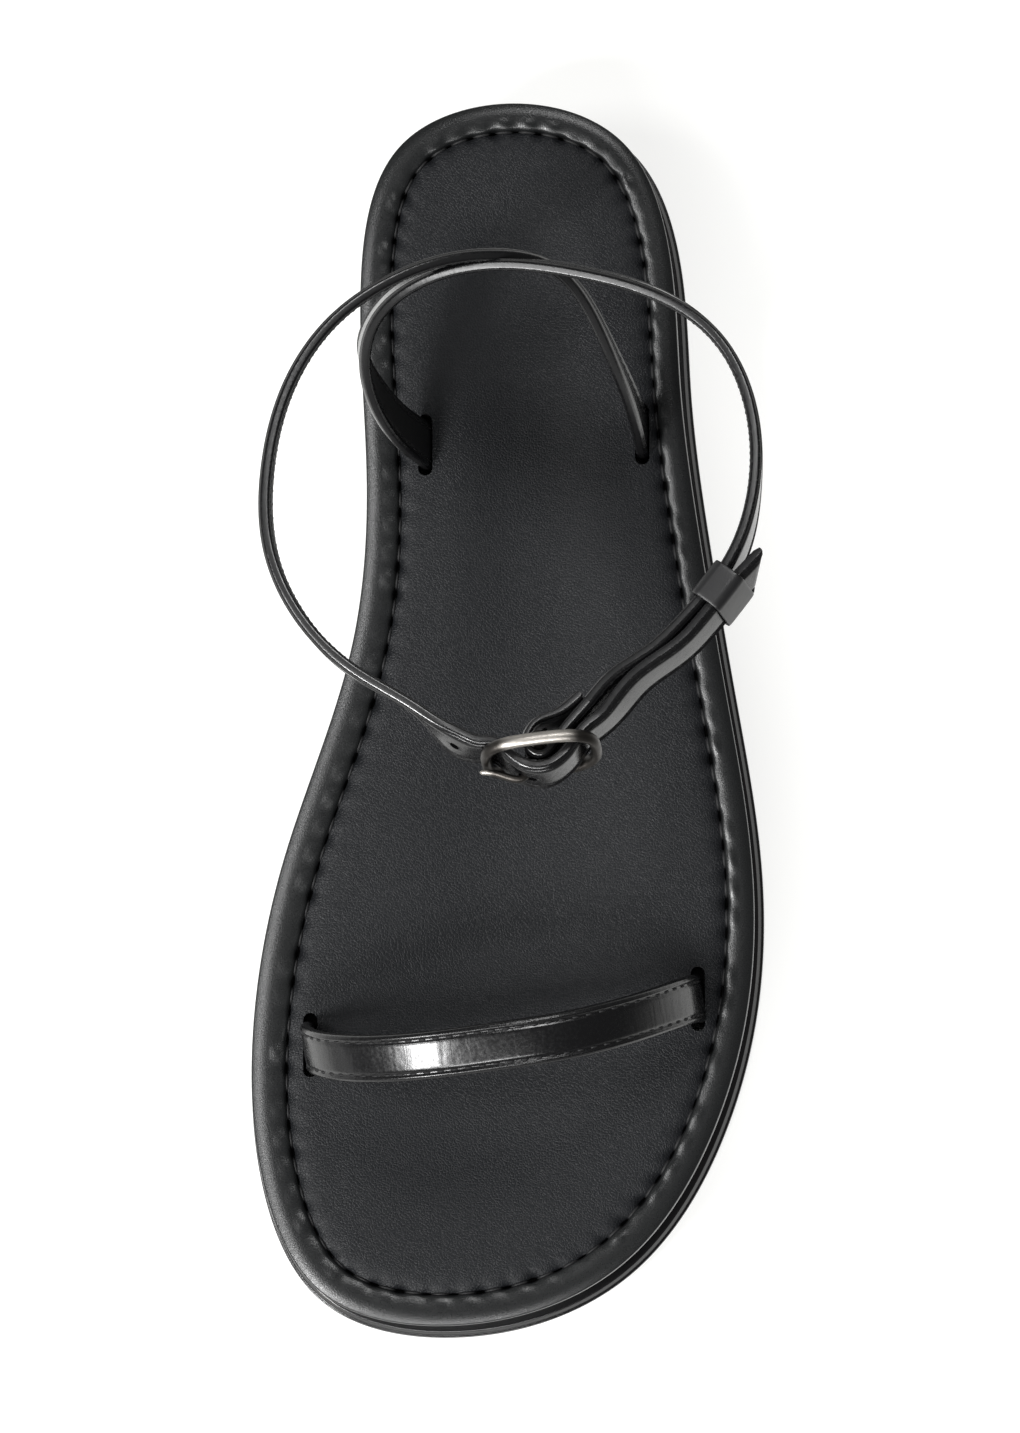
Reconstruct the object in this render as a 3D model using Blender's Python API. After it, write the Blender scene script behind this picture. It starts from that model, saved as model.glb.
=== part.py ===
"""Platform sandal for the left foot, with an arched toe strap and buckled ankle straps.

Frame: metres, +Z up, toe towards -Y, heel towards +Y, +X is the outer (little toe) side.
The origin lies on the floor, at the middle of the sole's length. Tables are in millimetres.
"""
import math

import bmesh
import bpy
import numpy as np

MM = 0.001

# Sole
AROUND = 76
OUTSOLE_THICK = 5.0
SEAT_GAP = 0.3
TOE_SPRING = 4.0
SPRING_FROM = -72.0
SEAM_DEPTH = 1.7
RIM_CREST_SHARE = 0.42
RIM_ROLL = 4.0
RECESS_DEPTH = 4.6
FOOTBED_PUFF = 0.5
FOOTBED_DISH = 1.3

# Straps
STRAP_WIDTH = 9.6
STRAP_THICK = 2.2
TOE_STRAP_WIDTH = 9.6
STRAP_BEVEL = 0.45
SLOT_LENGTH = 13.0
SLOT_WIDTH = 4.0
HEEL_SLOT_LENGTH = 12.4
TIP_LENGTH = 14.0
TIP_SLANT = 6.0

# Buckle, its centre on the axis of the centre bar
BUCKLE_CENTRE = (10.7, -12.2, 104.0)
BUCKLE_FACING = -83.0
BUCKLE_PITCH = 21.0
FRAME_LENGTH = 23.5
FRAME_HEIGHT = 17.2
FRAME_BAR = 2.1
FRAME_DEPTH = 2.6
FRAME_LIFT = 0.38
FRAME_SQUARE = 3.0
CENTRE_BAR = 2.0
CHAPE_HEADING = 46.0
CHAPE_LENGTH = 13.0
CHAPE_RADIUS = 2.8
CHAPE_LAP = 6.0
PRONG_WIRE = 1.5
KEEPER_FROM_BAR = 47.2
KEEPER_LENGTH = 8.0
KEEPER_WALL = 0.8
KEEPER_PLAY = 0.45

# Sole outline: name, across (to the outer side), along (to the heel),
# inset of the seam, width of the outsole's lip
SOLE_OUTLINE = [
    ("heel back", 1.8, 126.5, 7.2, 1.3),
    ("heel outer corner", 25.1, 117.6, 7.0, 1.3),
    ("heel outer", 34.1, 97.5, 6.9, 1.3),
    ("waist outer back", 36.7, 68.0, 6.8, 1.3),
    ("waist outer", 40.4, 38.0, 6.8, 1.3),
    ("shank outer", 45.9, 5.0, 6.8, 1.3),
    ("ball outer", 51.1, -31.0, 6.9, 1.3),
    ("fifth joint", 50.8, -53.0, 7.0, 1.3),
    ("small toe", 43.9, -82.3, 7.2, 1.5),
    ("toe outer corner", 24.5, -112.0, 7.9, 1.9),
    ("toe tip", -11.6, -125.1, 8.6, 2.2),
    ("toe inner corner", -39.1, -117.5, 8.7, 1.9),
    ("big toe", -51.8, -91.4, 8.6, 1.5),
    ("ball inner", -53.4, -67.0, 8.5, 1.3),
    ("joint inner", -46.7, -27.3, 8.5, 1.3),
    ("waist inner", -32.9, 15.7, 8.4, 1.3),
    ("waist inner back", -30.0, 48.0, 8.1, 1.3),
    ("heel inner", -31.2, 88.4, 7.7, 1.3),
    ("heel inner corner", -22.8, 117.4, 7.4, 1.3),
]

# Middle line of the sole: along, across
SOLE_SPINE = [(-80.0, -3.3), (-50.0, 0.2), (0.0, 5.4), (40.0, 5.6), (92.0, 2.3)]

# Height of the rim's crest above the floor: along, height
RIM_CREST = [
    (-125.0, 27.6),
    (-95.0, 25.0),
    (-60.0, 24.6),
    (-15.0, 25.8),
    (35.0, 27.8),
    (85.0, 29.2),
    (125.0, 30.0),
]

# Strap slots through the footbed: name, across, along, length, depth of the pocket's floor
SLOTS = [
    ("toe inner", -40.0, -66.0, SLOT_LENGTH, 13.5),
    ("toe outer", 38.5, -56.8, SLOT_LENGTH, 13.5),
    ("heel inner", -16.5, 55.5, HEEL_SLOT_LENGTH, 17.0),
    ("heel outer", 27.5, 57.5, HEEL_SLOT_LENGTH, 17.0),
]

# Toe strap, slot to slot: across, along, height
TOE_ROUTE = [
    (-40.0, -66.0, 14.0),
    (-40.0, -66.0, 20.0),
    (-39.9, -66.1, 26.0),
    (-39.2, -67.2, 34.0),
    (-35.0, -68.8, 42.8),
    (-26.0, -69.6, 50.0),
    (-13.5, -69.0, 55.0),
    (0.0, -67.3, 56.6),
    (14.0, -65.0, 54.6),
    (25.2, -62.0, 48.6),
    (33.2, -59.0, 39.8),
    (37.4, -57.2, 31.5),
    (38.4, -56.8, 25.5),
    (38.5, -56.8, 20.0),
    (38.5, -56.8, 14.0),
]
TOE_STRAP_HEADING = 7.0

# Strap from the inner slot, round the heel and the outer side:
# across, along, height, pitch of the outer face
BUCKLE_STRAP = [
    (-16.5, 55.5, 17.5, 0.0),
    (-16.5, 55.5, 23.0, 0.0),
    (-16.7, 55.6, 28.5, 0.0),
    (-20.2, 57.8, 37.0, 0.0),
    (-24.7, 63.1, 46.0, 7.0),
    (-27.0, 70.0, 55.0, 16.0),
    (-23.3, 78.5, 64.0, 21.0),
    (-13.0, 84.6, 71.5, 17.0),
    (0.5, 86.4, 76.5, 12.0),
    (17.5, 83.9, 81.5, 10.0),
    (34.0, 78.2, 86.0, 8.0),
    (45.0, 69.2, 89.5, 3.0),
    (51.2, 55.0, 93.0, 0.0),
    (52.0, 41.5, 95.8, 1.0),
    (47.4, 24.2, 98.8, 11.0),
    (42.0, 16.8, 99.6, 14.0),
    (38.2, 12.4, 100.1, 16.0),
    (32.0, 6.5, 100.7, 18.0),
    (25.1, 1.6, 101.0, 20.0),
]
BUCKLE_STRAP_SLOT_FACING = 180.0

# Strap from the outer slot, under the other one, round the heel and the inner side:
# across, along, height, pitch of the outer face
TAIL_STRAP = [
    (27.5, 57.5, 17.5, 0.0),
    (27.5, 57.5, 23.0, 0.0),
    (27.4, 57.7, 28.5, 0.0),
    (25.9, 62.4, 40.0, 4.0),
    (22.9, 69.6, 51.0, 6.0),
    (19.3, 77.2, 59.0, 8.0),
    (14.6, 83.8, 65.4, 8.0),
    (8.6, 87.4, 70.6, 8.0),
    (0.5, 88.2, 76.0, 10.0),
    (-9.0, 86.8, 80.2, 10.0),
    (-20.0, 82.2, 84.0, 9.0),
    (-31.0, 73.8, 87.4, 7.0),
    (-39.4, 60.5, 90.6, 4.0),
    (-43.2, 44.0, 93.8, 2.0),
    (-42.2, 27.3, 96.8, 0.0),
    (-36.3, 14.7, 99.2, 0.0),
    (-25.8, 4.1, 101.0, 0.0),
    (-12.7, -4.1, 102.4, 1.5),
]
TAIL_STRAP_SLOT_FACING = 0.0
SLOT_ROWS = 3
TURN_ROWS = 3

# The tail through the buckle: along the frame, out from it
TAIL_IN_BUCKLE = [
    (-11.6, -2.5), (-9.2, -2.1), (-5.2, 2.0), (0.0, 4.5), (5.0, 2.0), (9.0, -2.5), (12.5, -4.9),
]

# The tail on the other strap: distance from the bar, lay out from its middle, extra lean
TAIL_ON_STRAP = [(23.5, 2.8, 0.0), (34.0, 2.9, 2.0), (43.5, 3.0, 6.0), (49.0, 3.3, 7.0), (54.0, 4.6, 9.0)]

# Eye of the folded strap end, beyond its turn round the bar: along the strap, out from it
CHAPE_EYE = [(-1.1, -3.4), (0.6, -4.4), (2.7, -4.7), (4.7, -4.3), (6.8, -3.4)]
CHAPE_HOLLOW = [
    (-0.1, -2.3), (1.0, -2.9), (2.7, -3.1), (4.3, -2.8),
    (5.4, -1.9), (5.2, -0.9), (3.6, 0.2), (1.8, 0.9),
]

# Prong: along the frame, out from it, after its hook round the bar
PRONG_ARM = [(-2.25, 1.5), (-2.75, 3.6), (-4.2, 4.9), (-7.2, 4.15), (-10.4, 2.8), (-12.2, 2.5)]


def clear_scene():
    for item in list(bpy.data.objects):
        bpy.data.objects.remove(item, do_unlink=True)


def material(name, grey, roughness, metallic=0.0):
    """Principled material in one grey tone."""
    made = bpy.data.materials.new(name)
    made.use_nodes = True
    shader = made.node_tree.nodes["Principled BSDF"]
    shader.inputs["Base Color"].default_value = (grey, grey, grey, 1.0)
    shader.inputs["Roughness"].default_value = roughness
    shader.inputs["Metallic"].default_value = metallic
    return made


def spline(knots, rows, query):
    """Natural cubic spline through the rows at the knots, read at each query position."""
    knots = np.asarray(knots, float)
    rows = np.asarray(rows, float)
    query = np.asarray(query, float)
    step = np.diff(knots)
    slope = np.diff(rows, axis=0) / step[:, None]
    count = len(knots)
    matrix = np.eye(count)
    right = np.zeros_like(rows)
    for i in range(1, count - 1):
        matrix[i, i - 1:i + 2] = step[i - 1], 2.0 * (step[i - 1] + step[i]), step[i]
        right[i] = 6.0 * (slope[i] - slope[i - 1])
    bend = np.linalg.solve(matrix, right)
    left = np.clip(np.searchsorted(knots, query, side="right") - 1, 0, count - 2)
    width = step[left][:, None]
    past = (query - knots[left])[:, None]
    ahead = width - past
    cubic = (bend[left] * ahead ** 3 + bend[left + 1] * past ** 3) / (6.0 * width)
    first = (rows[left] / width - bend[left] * width / 6.0) * ahead
    second = (rows[left + 1] / width - bend[left + 1] * width / 6.0) * past
    return cubic + first + second


def chord_knots(points):
    """Running distance along the points."""
    return np.concatenate([[0.0], np.cumsum(np.linalg.norm(np.diff(points, axis=0), axis=1))])


def unit(rows):
    return rows / np.linalg.norm(rows, axis=-1, keepdims=True)


def facing_vector(facing, pitch):
    """Direction with this heading in plan and this pitch above the floor."""
    facing = np.radians(facing)
    pitch = np.radians(pitch)
    flat = np.cos(pitch)
    return np.stack([np.cos(facing) * flat, np.sin(facing) * flat, np.sin(pitch)], axis=-1)


def sole_loop():
    """Evenly spread points of the sole outline and the way from each one to the middle line.

    It also gives the depth of that way, and the seam's inset and the lip's width at each point.
    """
    points = np.array([row[1:] for row in SOLE_OUTLINE])
    lap = 5
    ringed = np.concatenate([points[-lap:], points, points[:lap + 1]])
    knots = chord_knots(ringed[:, :2])
    query = np.linspace(knots[lap], knots[lap + len(points)], AROUND, endpoint=False)
    rows = spline(knots, ringed, query)
    edge = rows[:, :2]
    flat = ringed[:, :2]
    ahead = unit(spline(knots, flat, query + 0.01) - spline(knots, flat, query - 0.01))
    inward = np.stack([ahead[:, 1], -ahead[:, 0]], axis=1)
    spine = np.array(SOLE_SPINE)
    along = np.clip(edge[:, 1], spine[0, 0], spine[-1, 0])
    middle = np.stack([np.interp(along, spine[:, 0], spine[:, 1]), along], axis=1)
    way = middle - edge
    depth = np.sum(way * inward, axis=1)
    return edge, way, depth, rows[:, 2], rows[:, 3] + 0.2


EDGE, WAY, DEPTH, SEAM, WALL = sole_loop()


def crest_height(along):
    table = np.array(RIM_CREST)
    return spline(table[:, 0], table[:, 1:], along)[:, 0]


def floor_rise(along):
    """Toe spring: the underside leaves the floor on a parabola in front of the ball."""
    share = np.clip((SPRING_FROM - along) / (125.0 + SPRING_FROM), 0.0, None)
    return TOE_SPRING * share ** 2


def ring(height, inset=None, share=None):
    """Loop of the outline moved inwards by an inset, or by a share of the way to the middle.

    The height is a function of the distance along the sole.
    """
    if share is None:
        share = inset / DEPTH
    flat = EDGE + WAY * np.reshape(share, (-1, 1))
    return np.column_stack([flat, height(flat[:, 1])])


def make_object(name, verts, faces, look):
    """Mesh object from points in millimetres, shaded smooth."""
    shape = bmesh.new()
    corners = [shape.verts.new(tuple(float(v) * MM for v in row)) for row in verts]
    for face in faces:
        shape.faces.new([corners[i] for i in face])
    bmesh.ops.recalc_face_normals(shape, faces=shape.faces)
    mesh = bpy.data.meshes.new(name)
    shape.to_mesh(mesh)
    shape.free()
    mesh.materials.append(look)
    mesh.shade_smooth()
    mesh.set_sharp_from_angle(angle=math.radians(40.0))
    made = bpy.data.objects.new(name, mesh)
    bpy.context.scene.collection.objects.link(made)
    return made


def cap_faces(base, count):
    """Strips across a closed loop, from its first point to the one opposite."""
    faces = []
    for k in range((count - 1) // 2):
        strip = [k, k + 1, count - 2 - k, count - 1 - k]
        if strip[1] == strip[2]:
            strip.pop(2)
        faces.append(tuple(base + i for i in strip))
    return faces


def loft(name, loops, look):
    """Solid through closed loops of the same count, capped at both ends."""
    loops = [np.asarray(loop) for loop in loops]
    count = len(loops[0])
    faces = []
    for row in range(len(loops) - 1):
        for i in range(count):
            j = (i + 1) % count
            base = row * count
            faces.append((base + i, base + j, base + count + j, base + count + i))
    faces += cap_faces(0, count)
    faces += cap_faces((len(loops) - 1) * count, count)
    return make_object(name, np.concatenate(loops), faces, look)


def combine(target, tool, operation):
    """Boolean of the target with a tool, which is used up."""
    step = target.modifiers.new(operation.lower(), "BOOLEAN")
    step.object = tool
    step.operation = operation
    step.solver = "EXACT"
    graph = bpy.context.evaluated_depsgraph_get()
    mesh = bpy.data.meshes.new_from_object(target.evaluated_get(graph))
    target.modifiers.clear()
    target.data = mesh
    bpy.data.objects.remove(tool, do_unlink=True)


def slot_cutter(row, look):
    """Upright prism with round ends, for one strap slot."""
    name, across, along, length, floor = row
    radius = SLOT_WIDTH / 2.0
    reach = length / 2.0 - radius
    turn = np.radians(np.linspace(0.0, 360.0, 20, endpoint=False) + 9.0)
    flat = np.column_stack([np.cos(turn), np.sin(turn)]) * radius
    flat[:, 1] += np.where(flat[:, 1] > 0.0, reach, -reach)
    flat += (across, along)
    bottom = np.column_stack([flat, np.full(len(flat), floor)])
    top = np.column_stack([flat, np.full(len(flat), 60.0)])
    return loft("slot " + name, [bottom, top], look)


def make_outsole(look):
    """Rubber sheet with a rounded lip round its edge, flat below and sprung at the toe."""
    def under(along):
        return floor_rise(along)

    def at(level):
        return lambda along: floor_rise(along) + level

    loops = [
        ring(under, share=0.86),
        ring(under, share=0.45),
        ring(under, inset=1.4),
        ring(at(0.5), inset=0.3),
        ring(at(1.4), inset=0.0),
        ring(at(OUTSOLE_THICK - 1.0), inset=0.0),
        ring(at(OUTSOLE_THICK - 0.2), inset=0.5),
        ring(at(OUTSOLE_THICK), inset=1.0),
        ring(at(OUTSOLE_THICK), share=0.45),
        ring(at(OUTSOLE_THICK), share=0.86),
    ]
    return loft("outsole", loops, look)


def rim_profile(steps):
    """Rows of share and drop, from the wall over the rolled rim to the seam.

    The share runs from the wall to the seam, and the drop is the depth below the crest.
    Outside the crest the rim is a quarter ellipse. Inside it falls as a cosine to the seam.
    """
    turn = np.radians(np.linspace(0.0, 90.0, steps))
    outer = RIM_CREST_SHARE * (1.0 - np.cos(turn))
    outer_drop = RIM_ROLL * (1.0 - np.sin(turn))
    step = np.linspace(0.0, 1.0, steps)[1:]
    inner = RIM_CREST_SHARE + (1.0 - RIM_CREST_SHARE) * step
    inner_drop = SEAM_DEPTH * 0.5 * (1.0 - np.cos(np.pi * step * 0.85))
    return np.column_stack([np.append(outer, inner), np.append(outer_drop, inner_drop)])


def make_platform(look):
    """Wrapped midsole: upright wall, rolled rim, seam step and a recess for the footbed."""
    base = OUTSOLE_THICK + SEAT_GAP

    def bottom(along):
        return floor_rise(along) + base

    def below_crest(drop):
        return lambda along: crest_height(along) - drop

    loops = [
        ring(bottom, share=0.86),
        ring(bottom, share=0.45),
        ring(bottom, inset=WALL + 0.8),
        ring(lambda along: bottom(along) + 0.7, inset=WALL),
    ]
    for share, drop in rim_profile(6):
        loops.append(ring(below_crest(drop), inset=WALL + (SEAM - WALL) * share))
    loops.append(ring(below_crest(RECESS_DEPTH), inset=SEAM))
    loops.append(ring(below_crest(RECESS_DEPTH), share=0.5))
    loops.append(ring(below_crest(RECESS_DEPTH), share=0.86))
    return loft("platform", loops, look)


def make_footbed(look):
    """Padded insole: it swells inside the seam and is dished along the middle."""
    def below_crest(drop):
        return lambda along: crest_height(along) - drop

    inset = SEAM + SEAT_GAP
    floor = RECESS_DEPTH - SEAT_GAP
    loops = [
        ring(below_crest(floor), share=0.86),
        ring(below_crest(floor), share=0.5),
        ring(below_crest(floor), inset=inset),
        ring(below_crest(SEAM_DEPTH + 0.1), inset=inset),
        ring(below_crest(SEAM_DEPTH - 0.7), inset=inset + 0.8),
        ring(below_crest(FOOTBED_PUFF + 0.1), inset=inset + 2.2),
        ring(below_crest(FOOTBED_PUFF), inset=inset + 4.5),
        ring(below_crest(FOOTBED_PUFF + FOOTBED_DISH * 0.7), share=0.62),
        ring(below_crest(FOOTBED_PUFF + FOOTBED_DISH), share=0.9),
    ]
    return loft("footbed", loops, look)


def ribbon_section(half_width, half_thick):
    """Corners of a strap's cut end: across its width, and out from its face."""
    bevel = STRAP_BEVEL
    return [
        (bevel - half_width, -half_thick),
        (half_width - bevel, -half_thick),
        (half_width, bevel - half_thick),
        (half_width, half_thick - bevel),
        (half_width - bevel, half_thick),
        (bevel - half_width, half_thick),
        (-half_width, half_thick - bevel),
        (-half_width, bevel - half_thick),
    ]


def route_frames(table, steps, side=None):
    """Points, tangents, widths and outer faces along a strap.

    The rows are splined over their running distance. The outer face comes from the facing and
    pitch columns, or from the fixed side direction where the strap has no such columns.
    """
    table = np.array(table, float)
    knots = chord_knots(table[:, :3])
    share = np.linspace(0.0, 1.0, steps, endpoint=False)
    query = (knots[:-1, None] + np.diff(knots)[:, None] * share).ravel()
    query = np.append(query, knots[-1])
    rows = spline(knots, table, query)
    tangent = unit(spline(knots, table[:, :3], query + 0.01) - spline(knots, table[:, :3], query - 0.01))
    if side is None:
        face = facing_vector(rows[:, 3], rows[:, 4])
        face = unit(face - tangent * np.sum(face * tangent, axis=1, keepdims=True))
        width = np.cross(face, tangent)
    else:
        width = unit(side - tangent * np.sum(side * tangent, axis=1, keepdims=True))
        face = np.cross(tangent, width)
    return query, rows[:, :3], tangent, width, face


def make_ribbon(name, frames, full_width, look, slant=0.0):
    """Strap of one width and thickness along its frames, with its last end cut on a slant."""
    distance, points, tangent, width, face = frames
    section = ribbon_section(full_width / 2.0, STRAP_THICK / 2.0)
    loops = []
    for i in range(len(points)):
        shear = slant / full_width * np.clip(1.0 - (distance[-1] - distance[i]) / TIP_LENGTH, 0.0, 1.0)
        lean = width[i] + tangent[i] * shear
        loops.append(np.array([points[i] + lean * a + face[i] * b for a, b in section]))
    return loft(name, loops, look)


def buckle_axes():
    """Directions along the frame, out from it and up its bar."""
    out = facing_vector(BUCKLE_FACING, BUCKLE_PITCH)
    along = facing_vector(BUCKLE_FACING + 90.0, 0.0)
    return along, out, np.cross(out, along)


def at_buckle(along, out, up=0.0):
    axes = buckle_axes()
    return np.array(BUCKLE_CENTRE) + axes[0] * along + axes[1] * out + axes[2] * up


def chape_axes():
    """Directions from the bar along the folded strap end, and out from its face."""
    up = buckle_axes()[2]
    way = facing_vector(CHAPE_HEADING, 0.0)
    way = unit(way - up * np.dot(way, up))
    out = np.cross(way, up)
    return way, out, up


def prism(name, flat, axes, centre, half_height, look):
    """Upright prism on a closed outline given along the first two axes."""
    loops = []
    for level in (-half_height, half_height):
        loops.append(np.array([centre + axes[0] * a + axes[1] * b + axes[2] * level for a, b in flat]))
    return loft(name, loops, look)


def circle(radius, count, start=0.0, end=360.0):
    turn = np.radians(np.linspace(start, end, count, endpoint=end - start < 360.0))
    return [(radius * math.cos(a), radius * math.sin(a)) for a in turn]


def make_chape(look):
    """Folded strap end: a loose eye round the bar, hollow inside, with a slot for the prong."""
    half = STRAP_THICK / 2.0
    inner = half + STRAP_THICK
    flat = circle(CHAPE_RADIUS, 12, 80.0, 215.0) + CHAPE_EYE
    flat += [(CHAPE_LENGTH, -inner), (CHAPE_LENGTH, half)]
    axes = chape_axes()
    centre = np.array(BUCKLE_CENTRE)
    made = prism("chape", flat, axes, centre, STRAP_WIDTH / 2.0, look)
    bore = circle(CENTRE_BAR / 2.0 + 0.3, 10, 70.0, 235.0) + CHAPE_HOLLOW
    bore = prism("bore", bore, axes, centre, 20.0, look)
    combine(made, bore, "DIFFERENCE")
    reach = 4.2
    gate = [(-reach, -reach - 1.0), (reach, -reach - 1.0), (reach, reach), (-reach, reach)]
    combine(made, prism("gate", gate, axes, centre, PRONG_WIRE / 2.0 + 0.4, look), "DIFFERENCE")
    return made


def angles(face):
    """Heading in plan and pitch of a direction, in degrees."""
    return math.degrees(math.atan2(face[1], face[0])), math.degrees(math.asin(face[2]))


def with_facing(rows, after, slot_facing, side):
    """Add the facing of the outer face in plan before each row's pitch.

    It is square to the route in plan, on the given side. The slot's facing holds for the first
    rows and turns evenly into the route's own.
    """
    rows = np.array(rows)
    plan = np.concatenate([rows[:, :2], [after[:2]]])
    step = np.gradient(plan, axis=0)[:-1]
    facing = np.degrees(np.unwrap(np.arctan2(step[:, 1], step[:, 0]))) + 90.0 * side
    last = SLOT_ROWS + TURN_ROWS - 1
    facing += 360.0 * np.round((slot_facing - facing[last]) / 360.0)
    share = np.clip((np.arange(last) - SLOT_ROWS + 1) / TURN_ROWS, 0.0, 1.0)
    facing[:last] = slot_facing + (facing[last] - slot_facing) * share
    return np.column_stack([rows[:, :3], facing, rows[:, 3]])


def buckle_strap_table():
    """The inner-slot strap's rows, carried on into the folded end at the bar."""
    way, out, up = chape_axes()
    ends = [np.array(BUCKLE_CENTRE) + way * reach for reach in (CHAPE_LENGTH, CHAPE_LENGTH - CHAPE_LAP)]
    table = with_facing(BUCKLE_STRAP, ends[0], BUCKLE_STRAP_SLOT_FACING, 1.0)
    tail = [np.append(spot, angles(out)) for spot in ends]
    return np.concatenate([table, tail])


def strap_place(frames, from_bar):
    """Point, tangent, width and outer face of a strap at a distance from the buckle's bar."""
    distance = frames[0]
    at = distance[-1] + CHAPE_LENGTH - CHAPE_LAP - from_bar
    return [np.array([np.interp(at, distance, column) for column in rows.T]) for rows in frames[1:]]


def tail_strap_table(frames):
    """The outer-slot strap's rows, then its way through the buckle and on the other strap."""
    flat = np.array(TAIL_IN_BUCKLE)
    step = unit(np.gradient(flat, axis=0))
    frame_way, frame_out, up = buckle_axes()
    spots = [at_buckle(along, out) for along, out in flat]
    faces = [frame_out * a - frame_way * b for a, b in step]
    for reach, lay, lean in TAIL_ON_STRAP:
        point, tangent, width, face = strap_place(frames, reach)
        lean = math.radians(lean)
        spots.append(point + face * lay)
        faces.append(face * math.cos(lean) - width * math.sin(lean))
    table = with_facing(TAIL_STRAP, spots[0], TAIL_STRAP_SLOT_FACING, -1.0)
    turns = np.array([angles(row) for row in faces])
    turns[:, 0] = turns[:, 0] % 360.0
    return np.concatenate([table, np.column_stack([spots, turns])])


def make_ankle_straps(look):
    """Both heel straps and the folded end, joined where they cross."""
    buckle_frames = route_frames(buckle_strap_table(), 4)
    straps = make_ribbon("ankle_straps", buckle_frames, STRAP_WIDTH, look)
    combine(straps, make_chape(look), "UNION")
    tail_frames = route_frames(tail_strap_table(buckle_frames), 4)
    tail = make_ribbon("tail", tail_frames, STRAP_WIDTH, look, TIP_SLANT)
    axes = buckle_axes()
    hole = [(-4.9, 1.0), (-1.2, 1.0), (-1.2, 8.0), (-4.9, 8.0)]
    centre = np.array(BUCKLE_CENTRE)
    combine(tail, prism("prong hole", hole, axes, centre, PRONG_WIRE / 2.0 + 0.45, look), "DIFFERENCE")
    combine(straps, tail, "UNION")
    return straps, buckle_frames


def make_frame(look):
    """Buckle frame: an oval bar on a squared oval, joined to the centre bar."""
    axes = buckle_axes()
    centre = np.array(BUCKLE_CENTRE)
    half = FRAME_BAR / 2.0
    long_half = FRAME_LENGTH / 2.0 - half
    tall_half = FRAME_HEIGHT / 2.0 - half
    power = 2.0 / FRAME_SQUARE
    loops = []
    for turn in np.radians(np.linspace(0.0, 360.0, 40, endpoint=False)):
        wave = np.array([math.cos(turn), math.sin(turn)])
        spot = np.sign(wave) * np.abs(wave) ** power * (long_half, tall_half)
        out = unit(np.sign(wave) * np.abs(wave) ** (2.0 - power) / (long_half, tall_half))
        rim = []
        for a, b in circle(half, 8):
            flat = spot + out * a
            lift = FRAME_LIFT + b * FRAME_DEPTH / FRAME_BAR
            rim.append(centre + axes[0] * flat[0] + axes[2] * flat[1] + axes[1] * lift)
        loops.append(np.array(rim))
    count = len(loops[0])
    faces = []
    for row in range(len(loops)):
        base = row * count
        after = (row + 1) % len(loops) * count
        for i in range(count):
            j = (i + 1) % count
            faces.append((base + i, base + j, after + j, after + i))
    frame = make_object("buckle_frame", np.concatenate(loops), faces, look)
    bar = prism("bar", circle(CENTRE_BAR / 2.0, 12), axes, centre, tall_half + 0.2, look)
    combine(frame, bar, "UNION")
    return frame


def make_prong(look):
    """Bent wire: a hook round the bar, then an arm through the tail to the frame's end."""
    axes = buckle_axes()
    radius = CENTRE_BAR / 2.0 + 0.3 + PRONG_WIRE / 2.0
    hook = circle(radius, 12, 60.0, -180.0)
    path = np.array(hook + PRONG_ARM)
    knots = chord_knots(path)
    query = np.linspace(0.0, knots[-1], 34)
    spots = spline(knots, path, query)
    ahead = unit(spline(knots, path, query + 0.01) - spline(knots, path, query - 0.01))
    loops = []
    for i in range(len(spots)):
        taper = 1.0 - 0.35 * np.clip((query[i] - knots[-1] + 4.0) / 4.0, 0.0, 1.0)
        rim = []
        for a, b in circle(PRONG_WIRE / 2.0 * taper, 8):
            flat = spots[i] + np.array([-ahead[i][1], ahead[i][0]]) * a
            rim.append(at_buckle(flat[0], flat[1], b))
        loops.append(np.array(rim))
    return loft("buckle_prong", loops, look)


def make_keeper(frames, look):
    """Leather loop round the strap and its tail, wider below, where the tail leans out."""
    point, tangent, width, face = strap_place(frames, KEEPER_FROM_BAR)
    axes = (-width, face, -tangent)
    reach, lay, lean = np.transpose(TAIL_ON_STRAP)
    lay = np.interp(KEEPER_FROM_BAR, reach, lay)
    spread = STRAP_WIDTH / 2.0 * math.sin(math.radians(np.interp(KEEPER_FROM_BAR, reach, lean)))
    low = -STRAP_THICK / 2.0 - KEEPER_PLAY
    below = lay + STRAP_THICK / 2.0 + KEEPER_PLAY + spread
    above = lay + STRAP_THICK / 2.0 + KEEPER_PLAY - spread
    side = STRAP_WIDTH / 2.0 + KEEPER_PLAY
    wall = KEEPER_WALL
    hole = [(-side, low), (side, low), (side, above), (-side, below)]
    cut = 0.7
    skin = [
        (-side - wall, low - wall + cut), (-side - wall + cut, low - wall),
        (side + wall - cut, low - wall), (side + wall, low - wall + cut),
        (side + wall, above + wall - cut), (side + wall - cut, above + wall),
        (-side - wall + cut, below + wall), (-side - wall, below + wall - cut),
    ]
    keeper = prism("keeper", skin, axes, point, KEEPER_LENGTH / 2.0, look)
    combine(keeper, prism("keeper hole", hole, axes, point, KEEPER_LENGTH, look), "DIFFERENCE")
    return keeper


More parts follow.
